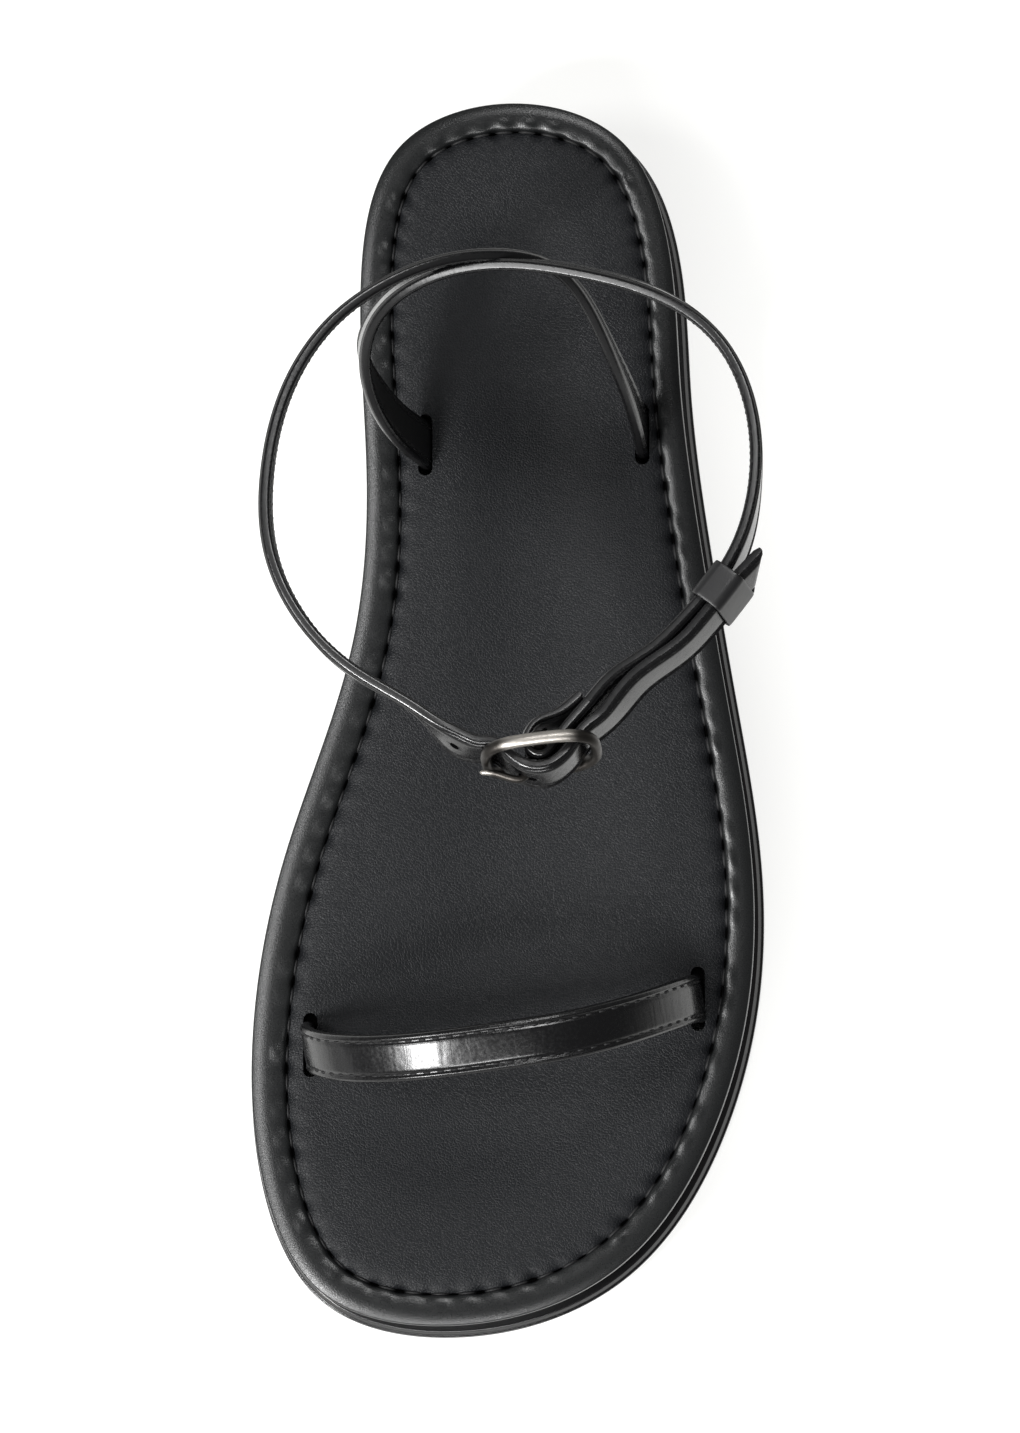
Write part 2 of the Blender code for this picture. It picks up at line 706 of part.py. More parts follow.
def build():
    clear_scene()
    rubber = material("rubber", 0.012, 0.75)
    wrap = material("wrap leather", 0.022, 0.5)
    lining = material("footbed leather", 0.03, 0.6)
    polished = material("strap leather", 0.01, 0.25)
    metal = material("aged nickel", 0.35, 0.3, 1.0)
    make_outsole(rubber)
    platform = make_platform(wrap)
    footbed = make_footbed(lining)
    for row in SLOTS:
        combine(platform, slot_cutter(row, wrap), "DIFFERENCE")
        combine(footbed, slot_cutter(row, lining), "DIFFERENCE")
    side = facing_vector(TOE_STRAP_HEADING + 90.0, 0.0)
    make_ribbon("toe_strap", route_frames(TOE_ROUTE, 4, side), TOE_STRAP_WIDTH, polished)
    straps, frames = make_ankle_straps(polished)
    make_frame(metal)
    make_prong(metal)
    make_keeper(frames, polished)


build()
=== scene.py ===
"""Looks of a black leather platform sandal for the left foot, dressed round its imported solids.

Tables are in millimetres, in the part's own frame: +Z up, toe towards -Y, +X the outer side.
Only the studio's are in metres and watts.
"""
import math

import bpy
import numpy as np
from mathutils import Matrix


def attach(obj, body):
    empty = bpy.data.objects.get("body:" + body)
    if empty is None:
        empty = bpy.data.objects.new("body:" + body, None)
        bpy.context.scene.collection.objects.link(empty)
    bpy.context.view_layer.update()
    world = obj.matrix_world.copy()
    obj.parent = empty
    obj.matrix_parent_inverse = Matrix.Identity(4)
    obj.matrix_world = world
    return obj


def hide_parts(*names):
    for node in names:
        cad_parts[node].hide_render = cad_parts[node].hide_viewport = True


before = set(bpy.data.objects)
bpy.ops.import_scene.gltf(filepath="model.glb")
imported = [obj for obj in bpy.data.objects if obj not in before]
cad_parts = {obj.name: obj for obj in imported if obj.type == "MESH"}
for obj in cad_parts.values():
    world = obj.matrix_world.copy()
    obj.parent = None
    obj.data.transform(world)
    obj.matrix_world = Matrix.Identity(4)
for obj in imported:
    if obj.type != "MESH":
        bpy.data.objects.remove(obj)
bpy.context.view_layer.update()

MM = 0.001
TURN = 2.0 * math.pi
RANDOM = np.random.default_rng(11)

# Studio: a table with a painted glow that lifts the shadows, brightest at a spot under the sandal and
# dimming with the distance from it, sky and walls, camera
TABLE_GLOW = 2.12
TABLE_REACH = 6.0
TABLE_BRIGHT_SPOT = (-0.05, 0.0, 0.0)
TABLE_BRIGHT_TO = 0.13
TABLE_DIM_FROM = 0.42
SKY_GLOW = 0.1
WALL_GLOW = 1.1
WALL_TOP = 0.3
DARK_SIDE = 0.12
CAMERA_LENS = 221.0
CAMERA_SPOT = (0.0931, -0.1242, 1.8)
CAMERA_TARGET = (0.0005, 0.0005, 0.024)
LIGHT_TARGET = (0.0, 0.0, 0.02)

# Softboxes: name, direction from the sandal, distance, width and height, power
SOFTBOXES = [
    ("left softbox", (-0.57, 0.05, 0.82), 1.4, (0.4, 0.3), 7.0),
    ("toe softbox", (-0.51, -0.36, 0.78), 1.5, (0.3, 0.3), 22.0),
    ("front softbox", (-0.08, -0.62, 0.78), 1.5, (0.8, 0.3), 13.5),
    ("heel softbox", (0.12, 0.56, 0.82), 1.5, (0.4, 0.4), 7.0),
]

# Sole
AROUND = 900
OUTSOLE_THICK = 5.0
SEAT_GAP = 0.3
TOE_SPRING = 4.0
SPRING_FROM = -72.0
SEAM_DEPTH = 1.7
RIM_CREST_SHARE = 0.5
RIM_CROWN = 0.75
RIM_INNER_CROWN = 0.6
RIM_EDGE = 0.6
RIM_EDGE_POWER = 60
RIM_SEAM_POWER = 18
RIM_SEAM_DROP = 0.945
RIM_ROLL = 4.0
WALL_BULGE = 0.1
WALL_UNDERCUT = 0.7
RECESS_DEPTH = 4.6
FOOTBED_PUFF = 0.5
FOOTBED_DISH = 1.3
FOOTBED_ROLL = 1.5
FOOTBED_EDGE = 9.0
FOOTBED_MIDDLE = 0.965
SOLE_FOOT_RADIUS = 1.4
LIP_RADIUS = 0.3
LIP_CURVE_DROP = 1.45

# Seam round the footbed: needle holes that pull the leather, and puckers between them
SEAM_LIFT = 0.4
HOLE_PULL = 0.8
HOLE_OPEN = 0.3
HOLE_POWER = 8
RIM_HOLE_BACK = 0.12
FOOTBED_HOLE_BACK = 0.14
FOOTBED_PULL_FADE = 0.9
FOOTBED_SWELL_FADE = 3.2
PUCKER = 0.36
PUCKER_SKEW = 1.4
SEAM_THREAD = 0.36
SEAM_STITCH_LENGTH = 3.7

# Straps
STRAP_WIDTH = 9.6
STRAP_THICK = 2.2
TOE_STRAP_WIDTH = 9.6
STRAP_CORNER = 0.75
STRAP_CROWN = 0.1
ROW_INSET = 1.45
ROW_CHANNEL = 0.32
ROW_SPREAD = 0.4
EDGE_BEAD = 0.16
STITCH_PITCH = 2.8
STITCH_LENGTH = 1.85
STITCH_GAUGE = 0.29
STATION = 0.8
SLOT_LENGTH = 13.0
SLOT_WIDTH = 2.9
HEEL_SLOT_LENGTH = 12.4
TIP_LENGTH = 14.0
TIP_SLANT = 6.0
HOLE_SPACING = 8.0
HOLE_RADIUS = 0.75
SPARE_HOLES = 3
SPARE_HOLE_LENGTH = 2.0
PRONG_HOLE_LENGTH = 3.9
STITCH_START = 9.0

# Buckle, its centre on the axis of the centre bar
BUCKLE_CENTRE = np.array((10.7, -12.2, 104.0))
BUCKLE_FACING = -83.0
BUCKLE_PITCH = 21.0
FRAME_LENGTH = 23.5
FRAME_HEIGHT = 17.2
FRAME_BAR = 2.1
FRAME_DEPTH = 2.6
FRAME_LIFT = 0.38
FRAME_SQUARE = 3.0
CENTRE_BAR = 2.0
CHAPE_HEADING = 46.0
CHAPE_LENGTH = 13.0
CHAPE_LAP = 6.0
CHAPE_GATE_HALF = (4.2, 5.2)
CHAPE_GATE_PLAY = 0.4
PRONG_WIRE = 1.5
PRONG_THROUGH = (-3.05, 4.0)
KEEPER_FROM_BAR = 47.2
KEEPER_LENGTH = 8.0
KEEPER_WALL = 0.8
KEEPER_PLAY = 0.45

# Sole outline: name, across, along, inset of the seam, width of the outsole's lip
SOLE_OUTLINE = [
    ("heel back", 1.8, 126.5, 7.2, 1.3),
    ("heel outer corner", 25.1, 117.6, 7.0, 1.3),
    ("heel outer", 34.1, 97.5, 6.9, 1.3),
    ("waist outer back", 36.7, 68.0, 6.8, 1.3),
    ("waist outer", 40.4, 38.0, 6.8, 1.3),
    ("shank outer", 45.9, 5.0, 6.8, 1.3),
    ("ball outer", 51.1, -31.0, 6.9, 1.3),
    ("fifth joint", 50.8, -53.0, 7.0, 1.3),
    ("small toe", 43.9, -82.3, 7.2, 1.5),
    ("toe outer corner", 24.5, -112.0, 7.9, 1.9),
    ("toe tip", -11.6, -125.1, 8.6, 2.2),
    ("toe inner corner", -39.1, -117.5, 8.7, 1.9),
    ("big toe", -51.8, -91.4, 8.6, 1.5),
    ("ball inner", -53.4, -67.0, 8.5, 1.3),
    ("joint inner", -46.7, -27.3, 8.5, 1.3),
    ("waist inner", -32.9, 15.7, 8.4, 1.3),
    ("waist inner back", -30.0, 48.0, 8.1, 1.3),
    ("heel inner", -31.2, 88.4, 7.7, 1.3),
    ("heel inner corner", -22.8, 117.4, 7.4, 1.3),
]

# Bevel of the outsole's lip up to the platform: inset, drop below the outsole's top
LIP_BEVEL = [(0.45, 1.15), (0.53, 1.1), (0.59, 1.0), (1.11, 0.15), (1.18, 0.07), (1.3, 0.02), (1.45, 0.0)]

# Groove under the outsole's edge: inset, depth
SOLE_GROOVE = [(8.0, 0.0), (7.4, 0.0), (7.0, 0.5), (6.2, 0.6), (5.4, 0.5), (5.0, 0.0), (4.4, 0.0)]

# Middle line of the sole: along, across
SOLE_SPINE = [(-80.0, -3.3), (-50.0, 0.2), (0.0, 5.4), (40.0, 5.6), (92.0, 2.3)]

# Height of the rim's crest above the floor: along, height
RIM_CREST = [
    (-125.0, 27.6),
    (-95.0, 25.0),
    (-60.0, 24.6),
    (-15.0, 25.8),
    (35.0, 27.8),
    (85.0, 29.2),
    (125.0, 30.0),
]

# Stitch length of the seam round the footbed: along, length
SEAM_PITCH = [(-125.0, 5.4), (-45.0, 6.0), (30.0, 5.6), (95.0, 4.7)]

# Strap slots through the footbed: across, along, length, depth of the pocket's floor
SLOTS = [
    (-40.0, -66.0, SLOT_LENGTH, 13.5),
    (38.5, -56.8, SLOT_LENGTH, 13.5),
    (-16.5, 55.5, HEEL_SLOT_LENGTH, 17.0),
    (27.5, 57.5, HEEL_SLOT_LENGTH, 17.0),
]

# Toe strap, slot to slot: across, along, height
TOE_ROUTE = [
    (-40.0, -66.0, 14.0),
    (-40.0, -66.0, 20.0),
    (-39.9, -66.1, 26.0),
    (-39.2, -67.2, 34.0),
    (-35.0, -68.8, 42.8),
    (-26.0, -69.6, 50.0),
    (-13.5, -69.0, 55.0),
    (0.0, -67.3, 56.6),
    (14.0, -65.0, 54.6),
    (25.2, -62.0, 48.6),
    (33.2, -59.0, 39.8),
    (37.4, -57.2, 31.5),
    (38.4, -56.8, 25.5),
    (38.5, -56.8, 20.0),
    (38.5, -56.8, 14.0),
]
TOE_STRAP_HEADING = 7.0
TOE_STRAP_PITCH = 11.0

# Strap from the inner slot, round the heel and the outer side:
# across, along, height, pitch of the outer face
BUCKLE_STRAP = [
    (-16.5, 55.5, 17.5, 0.0),
    (-16.5, 55.5, 23.0, 0.0),
    (-16.7, 55.6, 28.5, 0.0),
    (-20.2, 57.8, 37.0, 0.0),
    (-24.7, 63.1, 46.0, 7.0),
    (-27.0, 70.0, 55.0, 16.0),
    (-23.3, 78.5, 64.0, 21.0),
    (-13.0, 84.6, 71.5, 17.0),
    (0.5, 86.4, 76.5, 12.0),
    (17.5, 83.9, 81.5, 10.0),
    (34.0, 78.2, 86.0, 8.0),
    (45.0, 69.2, 89.5, 3.0),
    (51.2, 55.0, 93.0, 0.0),
    (52.0, 41.5, 95.8, 1.0),
    (47.4, 24.2, 98.8, 11.0),
    (42.0, 16.8, 99.6, 14.0),
    (38.2, 12.4, 100.1, 16.0),
    (32.0, 6.5, 100.7, 18.0),
    (25.1, 1.6, 101.0, 20.0),
]
BUCKLE_STRAP_SLOT_FACING = 180.0

# Strap from the outer slot, under the other one, round the heel and the inner side:
# across, along, height, pitch of the outer face
TAIL_STRAP = [
    (27.5, 57.5, 17.5, 0.0),
    (27.5, 57.5, 23.0, 0.0),
    (27.4, 57.7, 28.5, 0.0),
    (25.9, 62.4, 40.0, 4.0),
    (22.9, 69.6, 51.0, 6.0),
    (19.3, 77.2, 59.0, 8.0),
    (14.6, 83.8, 65.4, 8.0),
    (8.6, 87.4, 70.6, 8.0),
    (0.5, 88.2, 76.0, 10.0),
    (-9.0, 86.8, 80.2, 10.0),
    (-20.0, 82.2, 84.0, 9.0),
    (-31.0, 73.8, 87.4, 7.0),
    (-39.4, 60.5, 90.6, 4.0),
    (-43.2, 44.0, 93.8, 2.0),
    (-42.2, 27.3, 96.8, 0.0),
    (-36.3, 14.7, 99.2, 0.0),
    (-25.8, 4.1, 101.0, 0.0),
    (-12.7, -4.1, 102.4, 1.5),
]
TAIL_STRAP_SLOT_FACING = 0.0
SLOT_ROWS = 3
TURN_ROWS = 3

# The tail through the buckle: along the frame, out from it
TAIL_IN_BUCKLE = [
    (-11.6, -2.5), (-9.2, -2.1), (-5.2, 2.0), (0.0, 4.5), (5.0, 2.0), (9.0, -2.5), (12.5, -4.9),
]

# The tail on the other strap: distance from the bar, lay out from its middle, extra lean
TAIL_ON_STRAP = [(23.5, 2.8, 0.0), (34.0, 2.9, 2.0), (43.5, 3.0, 6.0), (49.0, 3.3, 7.0), (54.0, 4.6, 9.0)]

# Folded strap end round the bar: along the strap, out from it, thickness
CHAPE_FOLD = [
    (13.0, 0.0, 2.2),
    (10.0, 0.35, 2.2),
    (7.0, 0.75, 2.1),
    (4.0, 1.25, 1.8),
    (1.8, 1.75, 1.55),
    (-0.2, 2.03, 1.5),
    (-1.55, 1.32, 1.5),
    (-2.03, 0.0, 1.5),
    (-1.8, -1.4, 1.5),
    (-0.85, -2.8, 1.5),
    (0.75, -3.65, 1.5),
    (2.7, -3.95, 1.5),
    (4.6, -3.5, 1.6),
    (6.6, -2.65, 1.8),
    (9.0, -2.2, 2.1),
    (13.0, -2.2, 2.1),
]

# Prong: along the frame, out from it, after its hook round the bar
PRONG_ARM = [(-2.25, 1.5), (-2.75, 3.6), (-4.2, 4.9), (-7.2, 4.15), (-10.4, 2.8), (-12.2, 2.5)]


def spline(knots, rows, query):
    """Natural cubic spline through the rows at the knots, read at each query position."""
    knots = np.asarray(knots, float)
    rows = np.asarray(rows, float)
    query = np.asarray(query, float)
    step = np.diff(knots)
    slope = np.diff(rows, axis=0) / step[:, None]
    count = len(knots)
    matrix = np.eye(count)
    right = np.zeros_like(rows)
    for i in range(1, count - 1):
        matrix[i, i - 1:i + 2] = step[i - 1], 2.0 * (step[i - 1] + step[i]), step[i]
        right[i] = 6.0 * (slope[i] - slope[i - 1])
    bend = np.linalg.solve(matrix, right)
    left = np.clip(np.searchsorted(knots, query, side="right") - 1, 0, count - 2)
    width = step[left][:, None]
    past = (query - knots[left])[:, None]
    ahead = width - past
    cubic = (bend[left] * ahead ** 3 + bend[left + 1] * past ** 3) / (6.0 * width)
    first = (rows[left] / width - bend[left] * width / 6.0) * ahead
    second = (rows[left + 1] / width - bend[left + 1] * width / 6.0) * past
    return cubic + first + second


def spline_way(knots, rows, query):
    """Unit direction of the spline at each query position."""
    return unit(spline(knots, rows, query + 0.01) - spline(knots, rows, query - 0.01))


def chord_knots(points):
    """Running distance along the points."""
    return np.concatenate([[0.0], np.cumsum(np.linalg.norm(np.diff(points, axis=0), axis=1))])


def unit(rows):
    """Each row divided by its own length."""
    return rows / np.linalg.norm(rows, axis=-1, keepdims=True)


def facing_vector(facing, pitch):
    """Direction with this heading in plan and this pitch above the floor."""
    facing = np.radians(facing)
    pitch = np.radians(pitch)
    flat = np.cos(pitch)
    return np.stack([np.cos(facing) * flat, np.sin(facing) * flat, np.sin(pitch)], axis=-1)


def smooth(share):
    """Soft step from 0 to 1."""
    share = np.clip(share, 0.0, 1.0)
    return share * share * (3.0 - 2.0 * share)


def lofted(name, grids, look, ring=False, marks=None):
    """Closed shells, each a grid of closed loops: a shell, a loop or a point to each axis.

    Neighbouring loops are joined by quads. The end loops are closed by strips across them, or
    joined to each other where the shell is a ring. The signed volume turns the faces outwards.
    """
    grids = np.asarray(grids, float)
    if grids.ndim == 3:
        grids = grids[None]
    shells, rows, columns = grids.shape[:3]
    index = np.arange(rows * columns).reshape(rows, columns)
    low = index if ring else index[:-1]
    high = np.roll(index, -1, axis=0) if ring else index[1:]
    quads = np.stack([low, np.roll(low, -1, axis=1), np.roll(high, -1, axis=1), high], axis=-1)
    quads = quads.reshape(-1, 4)
    if not ring:
        k = np.arange(columns // 2 - 1)
        strips = np.stack([k, k + 1, columns - 2 - k, columns - 1 - k], axis=-1)
        quads = np.concatenate([quads, strips[:, ::-1], strips + (rows - 1) * columns])
    corner = grids[0].reshape(-1, 3)[quads]
    diagonals = np.cross(corner[:, 2] - corner[:, 0], corner[:, 3] - corner[:, 1])
    if np.sum(np.mean(corner, axis=1) * diagonals) < 0.0:
        quads = quads[:, ::-1]
    quads = (quads[None] + np.arange(shells)[:, None, None] * rows * columns).reshape(-1, 4)
    mesh = bpy.data.meshes.new(name)
    mesh.from_pydata((grids.reshape(-1, 3) * MM).tolist(), [], quads.tolist())
    mesh.materials.append(look)
    for mark, values in (marks or {}).items():
        layer = mesh.attributes.new(mark, "FLOAT", "POINT")
        layer.data.foreach_set("value", np.ravel(values).astype(np.float32))
    mesh.shade_smooth()
    made = bpy.data.objects.new(name, mesh)
    bpy.context.scene.collection.objects.link(made)
    return made


def cut(piece, cutter, sharp=50.0):
    """Cut one closed mesh out of another. The cutter is used up, and the cut's edges are sharp."""
    step = piece.modifiers.new("cut", "BOOLEAN")
    step.object = cutter
    step.operation = "DIFFERENCE"
    step.solver = "EXACT"
    graph = bpy.context.evaluated_depsgraph_get()
    mesh = bpy.data.meshes.new_from_object(piece.evaluated_get(graph))
    piece.modifiers.clear()
    piece.data = mesh
    mesh.set_sharp_from_angle(angle=math.radians(sharp))
    bpy.data.objects.remove(cutter, do_unlink=True)


class Sole:
    """Evenly spread points of the sole outline and the way from each one to the middle line.

    The depth is how far the way reaches inwards. Seam and wall are insets of the seam and of the
    platform's wall. The hole is about 1 at the seam's needle holes and falls to 0 between them, and
    the swell is up to 1 between two holes.
    """

    def __init__(self, count):
        points = np.array([row[1:] for row in SOLE_OUTLINE])
        lap = 5
        ringed = np.concatenate([points[-lap:], points, points[:lap + 1]])
        knots = chord_knots(ringed[:, :2])
        query = np.linspace(knots[lap], knots[lap + len(points)], count, endpoint=False)
        rows = spline(knots, ringed, query)
        ahead = spline_way(knots, ringed[:, :2], query)
        inward = np.stack([ahead[:, 1], -ahead[:, 0]], axis=1)
        spine = np.array(SOLE_SPINE)
        self.edge = rows[:, :2]
        along = np.clip(self.edge[:, 1], spine[0, 0], spine[-1, 0])
        middle = np.stack([np.interp(along, spine[:, 0], spine[:, 1]), along], axis=1)
        self.way = middle - self.edge
        self.depth = np.sum(self.way * inward, axis=1)
        self.seam = rows[:, 2]
        self.wall = rows[:, 3] + 0.2
        self.measure_seam()

    def measure_seam(self):
        """Share the seam into stitches of the table's lengths, each needle hole pulled differently."""
        line = self.loop(lambda along: 0.0 * along, inset=self.seam)
        line = np.concatenate([line, line[:1]])
        along, pitch = np.transpose(SEAM_PITCH)
        self.run = chord_knots(line)
        middle = 0.5 * (line[1:, 1] + line[:-1, 1])
        turns = np.cumsum(np.append(0.0, np.diff(self.run) / np.interp(middle, along, pitch)))
        self.stitches = int(round(turns[-1]))
        self.turns = turns * self.stitches / turns[-1]
        wave = np.cos(TURN * self.turns[:-1])
        nearest = np.round(self.turns[:-1]).astype(int) % self.stitches
        self.hole = (0.5 + 0.5 * wave) ** 1.6 * RANDOM.uniform(0.55, 1.35, self.stitches)[nearest]
        between = np.floor(self.turns[:-1]).astype(int) % self.stitches
        self.swell = (0.5 - 0.5 * wave) * RANDOM.uniform(0.0, 1.0, self.stitches)[between]

    def loop(self, height, inset=None, share=None):
        """Loop moved inwards by an inset, or by a share of the way to the middle.

        The height is a function of the distance along the sole.
        """
        if share is None:
            share = inset / self.depth
        flat = self.edge + self.way * np.reshape(share, (-1, 1))
        return np.column_stack([flat, height(flat[:, 1])])


def crest_height(along):
    """Height of the rim's crest: the table's heights, splined along the sole."""
    table = np.array(RIM_CREST)
    return spline(table[:, 0], table[:, 1:], along)[:, 0]


def floor_rise(along):
    """Toe spring: the underside leaves the floor on a parabola in front of the ball."""
    share = np.clip((SPRING_FROM - along) / (125.0 + SPRING_FROM), 0.0, None)
    return TOE_SPRING * share ** 2


def above_floor(level):
    """Height function of a line at a level above the underside."""
    return lambda along: floor_rise(along) + level


def below_crest(drop):
    """Height function of a line at a drop below the rim's crest."""
    return lambda along: crest_height(along) - drop


def make_sole_sheet(sole, look):
    """Rubber sheet: a flat face, a lip round it and a shallow groove under its edge.

    The lip is a quarter circle, an upright stretch and a small quarter circle, then a narrow ledge
    and a steep bevel up to the platform.
    """
    turn = np.radians(np.linspace(0.0, 90.0, 7))
    curve_from = OUTSOLE_THICK - LIP_CURVE_DROP
    low = [(SOLE_FOOT_RADIUS * (1.0 - math.sin(a)), SOLE_FOOT_RADIUS * (1.0 - math.cos(a))) for a in turn]
    high = [(LIP_RADIUS * (1.0 - math.cos(a)), curve_from + LIP_RADIUS * math.sin(a)) for a in turn]
    high += [(inset, OUTSOLE_THICK - drop) for inset, drop in LIP_BEVEL]
    loops = [sole.loop(above_floor(0.0), share=share) for share in (0.86, 0.6, 0.35)]
    loops += [sole.loop(above_floor(level), inset=inset) for inset, level in SOLE_GROOVE + low + high]
    loops += [sole.loop(above_floor(OUTSOLE_THICK), share=share) for share in (0.45, 0.86)]
    return lofted("sole_sheet", loops, look)


def make_platform_wrap(sole, look):
    """Leather-wrapped midsole: leaning wall, rolled rim, puckered seam edge and footbed recess.

    The wall leans in towards its foot and bulges as half a sine. The rim falls as a parabola on
    both sides of its crest, and then as a high power to the wall and to the seam. Near the seam,
    each needle hole pulls the leather down and back, and it swells unevenly between two holes.
    """
    base = OUTSOLE_THICK + SEAT_GAP
    loops = [sole.loop(above_floor(base), share=share) for share in (0.86, 0.45)]
    loops.append(sole.loop(above_floor(base), inset=sole.wall + WALL_UNDERCUT + 0.8))
    loops.append(sole.loop(above_floor(base + 0.2), inset=sole.wall + WALL_UNDERCUT + 0.25))
    foot = sole.loop(above_floor(base + 0.7), inset=sole.wall + WALL_UNDERCUT)
    top = sole.loop(below_crest(RIM_ROLL), inset=sole.wall)
    for share in np.linspace(0.0, 1.0, 7)[:-1]:
        level = foot[:, 2] + (top[:, 2] - foot[:, 2]) * share
        lean = WALL_UNDERCUT * (1.0 - share) - WALL_BULGE * math.sin(math.pi * share)
        loops.append(sole.loop(lambda along: level, inset=sole.wall + lean))
    band = sole.seam - sole.wall
    for step in 1.0 - np.linspace(0.0, 1.0, 22) ** 2:
        share = RIM_CREST_SHARE * (1.0 - step)
        drop = RIM_CROWN * step ** 2 + RIM_EDGE * step ** RIM_EDGE_POWER
        loops.append(sole.loop(below_crest(drop), inset=sole.wall + band * share))
    for step in 1.0 - (1.0 - np.linspace(0.0, 1.0, 27)[1:]) ** 1.7:
        share = RIM_CREST_SHARE + (1.0 - RIM_CREST_SHARE) * step
        near = step ** HOLE_POWER
        seam_fall = SEAM_DEPTH * RIM_SEAM_DROP - RIM_INNER_CROWN
        drop = RIM_INNER_CROWN * step ** 2 + seam_fall * step ** RIM_SEAM_POWER
        drop = drop + near * (HOLE_PULL * sole.hole - SEAM_LIFT)
        drop = drop - PUCKER * math.sin(math.pi * step ** PUCKER_SKEW) * sole.swell
        shift = near * (RIM_HOLE_BACK - HOLE_OPEN * sole.hole)
        loops.append(sole.loop(below_crest(drop), inset=sole.wall + band * share + shift))
    loops.append(sole.loop(below_crest(RECESS_DEPTH), inset=sole.seam))
    loops += [sole.loop(below_crest(RECESS_DEPTH), share=share) for share in (0.5, 0.86)]
    return lofted("platform_wrap", loops, look)


def make_footbed_pad(sole, look):
    """Padded insole: it swells inside the seam as an exponential and is dished along the middle.

    Needle holes pull its edge down and inwards, and it swells between them. The pull fades
    within a few millimetres of the seam.
    """
    inset = sole.seam + SEAT_GAP
    floor = RECESS_DEPTH - SEAT_GAP
    loops = [sole.loop(below_crest(floor), share=share) for share in (0.86, 0.5)]
    loops.append(sole.loop(below_crest(floor), inset=inset))
    for reach in FOOTBED_EDGE * np.linspace(0.0, 1.0, 30) ** 1.7:
        near = math.exp(-reach / FOOTBED_PULL_FADE)
        wide = math.exp(-(reach / FOOTBED_SWELL_FADE) ** 2) * (1.0 - near)
        drop = FOOTBED_PUFF + (SEAM_DEPTH + 0.1 - FOOTBED_PUFF) * math.exp(-reach / FOOTBED_ROLL)
        drop = drop + near * (HOLE_PULL * sole.hole - SEAM_LIFT) - 0.5 * wide * PUCKER * sole.swell
        shift = near * (HOLE_OPEN * sole.hole - FOOTBED_HOLE_BACK)
        loops.append(sole.loop(below_crest(drop), inset=inset + reach + shift))
    start = (inset + FOOTBED_EDGE) / sole.depth
    for step in np.linspace(0.0, 1.0, 14)[1:]:
        share = start + (FOOTBED_MIDDLE - start) * step
        drop = FOOTBED_PUFF + FOOTBED_DISH * math.sin(0.5 * math.pi * step) ** 2
        loops.append(sole.loop(below_crest(drop), share=share))
    return lofted("footbed_pad", loops, look)


def rounded_slot(length, width, sides):
    """Outline of a slot with round ends: across, along."""
    turn = TURN * (np.arange(sides) + 0.5) / sides
    flat = np.column_stack([np.cos(turn), np.sin(turn)]) * width / 2.0
    flat[:, 1] += np.sign(flat[:, 1]) * (length - width) / 2.0
    return flat


def slot_cutter(look):
    """Upright prisms with round ends, for the four strap slots."""
    prisms = []
    for across, along, length, floor in SLOTS:
        flat = rounded_slot(length, SLOT_WIDTH, 40) + (across, along)
        prisms.append([np.column_stack([flat, np.full(len(flat), level)]) for level in (floor, 60.0)])
    return lofted("slot cutter", prisms, look)


class Route:
    """Strap line: running distance, points, and unit tangents, widths and outer faces."""

    def __init__(self, distance, points, tangent, width, face):
        self.distance = distance
        self.points = points
        self.tangent = tangent
        self.width = width
        self.face = face

    def at(self, distance):
        """Points, tangents, widths and outer faces at these distances."""
        def read(rows):
            """Each column of the rows, read in straight steps between the stations."""
            return np.stack([np.interp(distance, self.distance, part) for part in rows.T], axis=-1)

        return [read(rows) for rows in (self.points, self.tangent, self.width, self.face)]

    def until(self, distance):
        """The route's stations before this distance."""
        keep = self.distance < distance
        rows = (self.distance, self.points, self.tangent, self.width, self.face)
        return Route(*[row[keep] for row in rows])


def strap_route(table, side=None):
    """Route through the table's rows, splined over their running distance.

    The outer face comes from the facing and pitch columns, or from a fixed side direction.
    """
    table = np.array(table, float)
    knots = chord_knots(table[:, :3])
    query = np.linspace(0.0, knots[-1], int(knots[-1] / STATION))
    rows = spline(knots, table, query)
    tangent = spline_way(knots, table[:, :3], query)
    if side is None:
        face = facing_vector(rows[:, 3], rows[:, 4])
        face = unit(face - tangent * np.sum(face * tangent, axis=1, keepdims=True))
        width = np.cross(face, tangent)
    else:
        width = unit(side - tangent * np.sum(side * tangent, axis=1, keepdims=True))
        face = np.cross(tangent, width)
    return Route(query, rows[:, :3], tangent, width, face)


def pitched(route, most):
    """Route whose faces turn about it by this angle, but not within a fifth of its ends."""
    to_end = np.minimum(route.distance, route.distance[-1] - route.distance)
    turn = np.radians(most) * smooth(to_end / route.distance[-1] * 5.0 - 0.35)[:, None]
    width = route.width * np.cos(turn) + route.face * np.sin(turn)
    face = route.face * np.cos(turn) - route.width * np.sin(turn)
    return Route(route.distance, route.points, route.tangent, width, face)


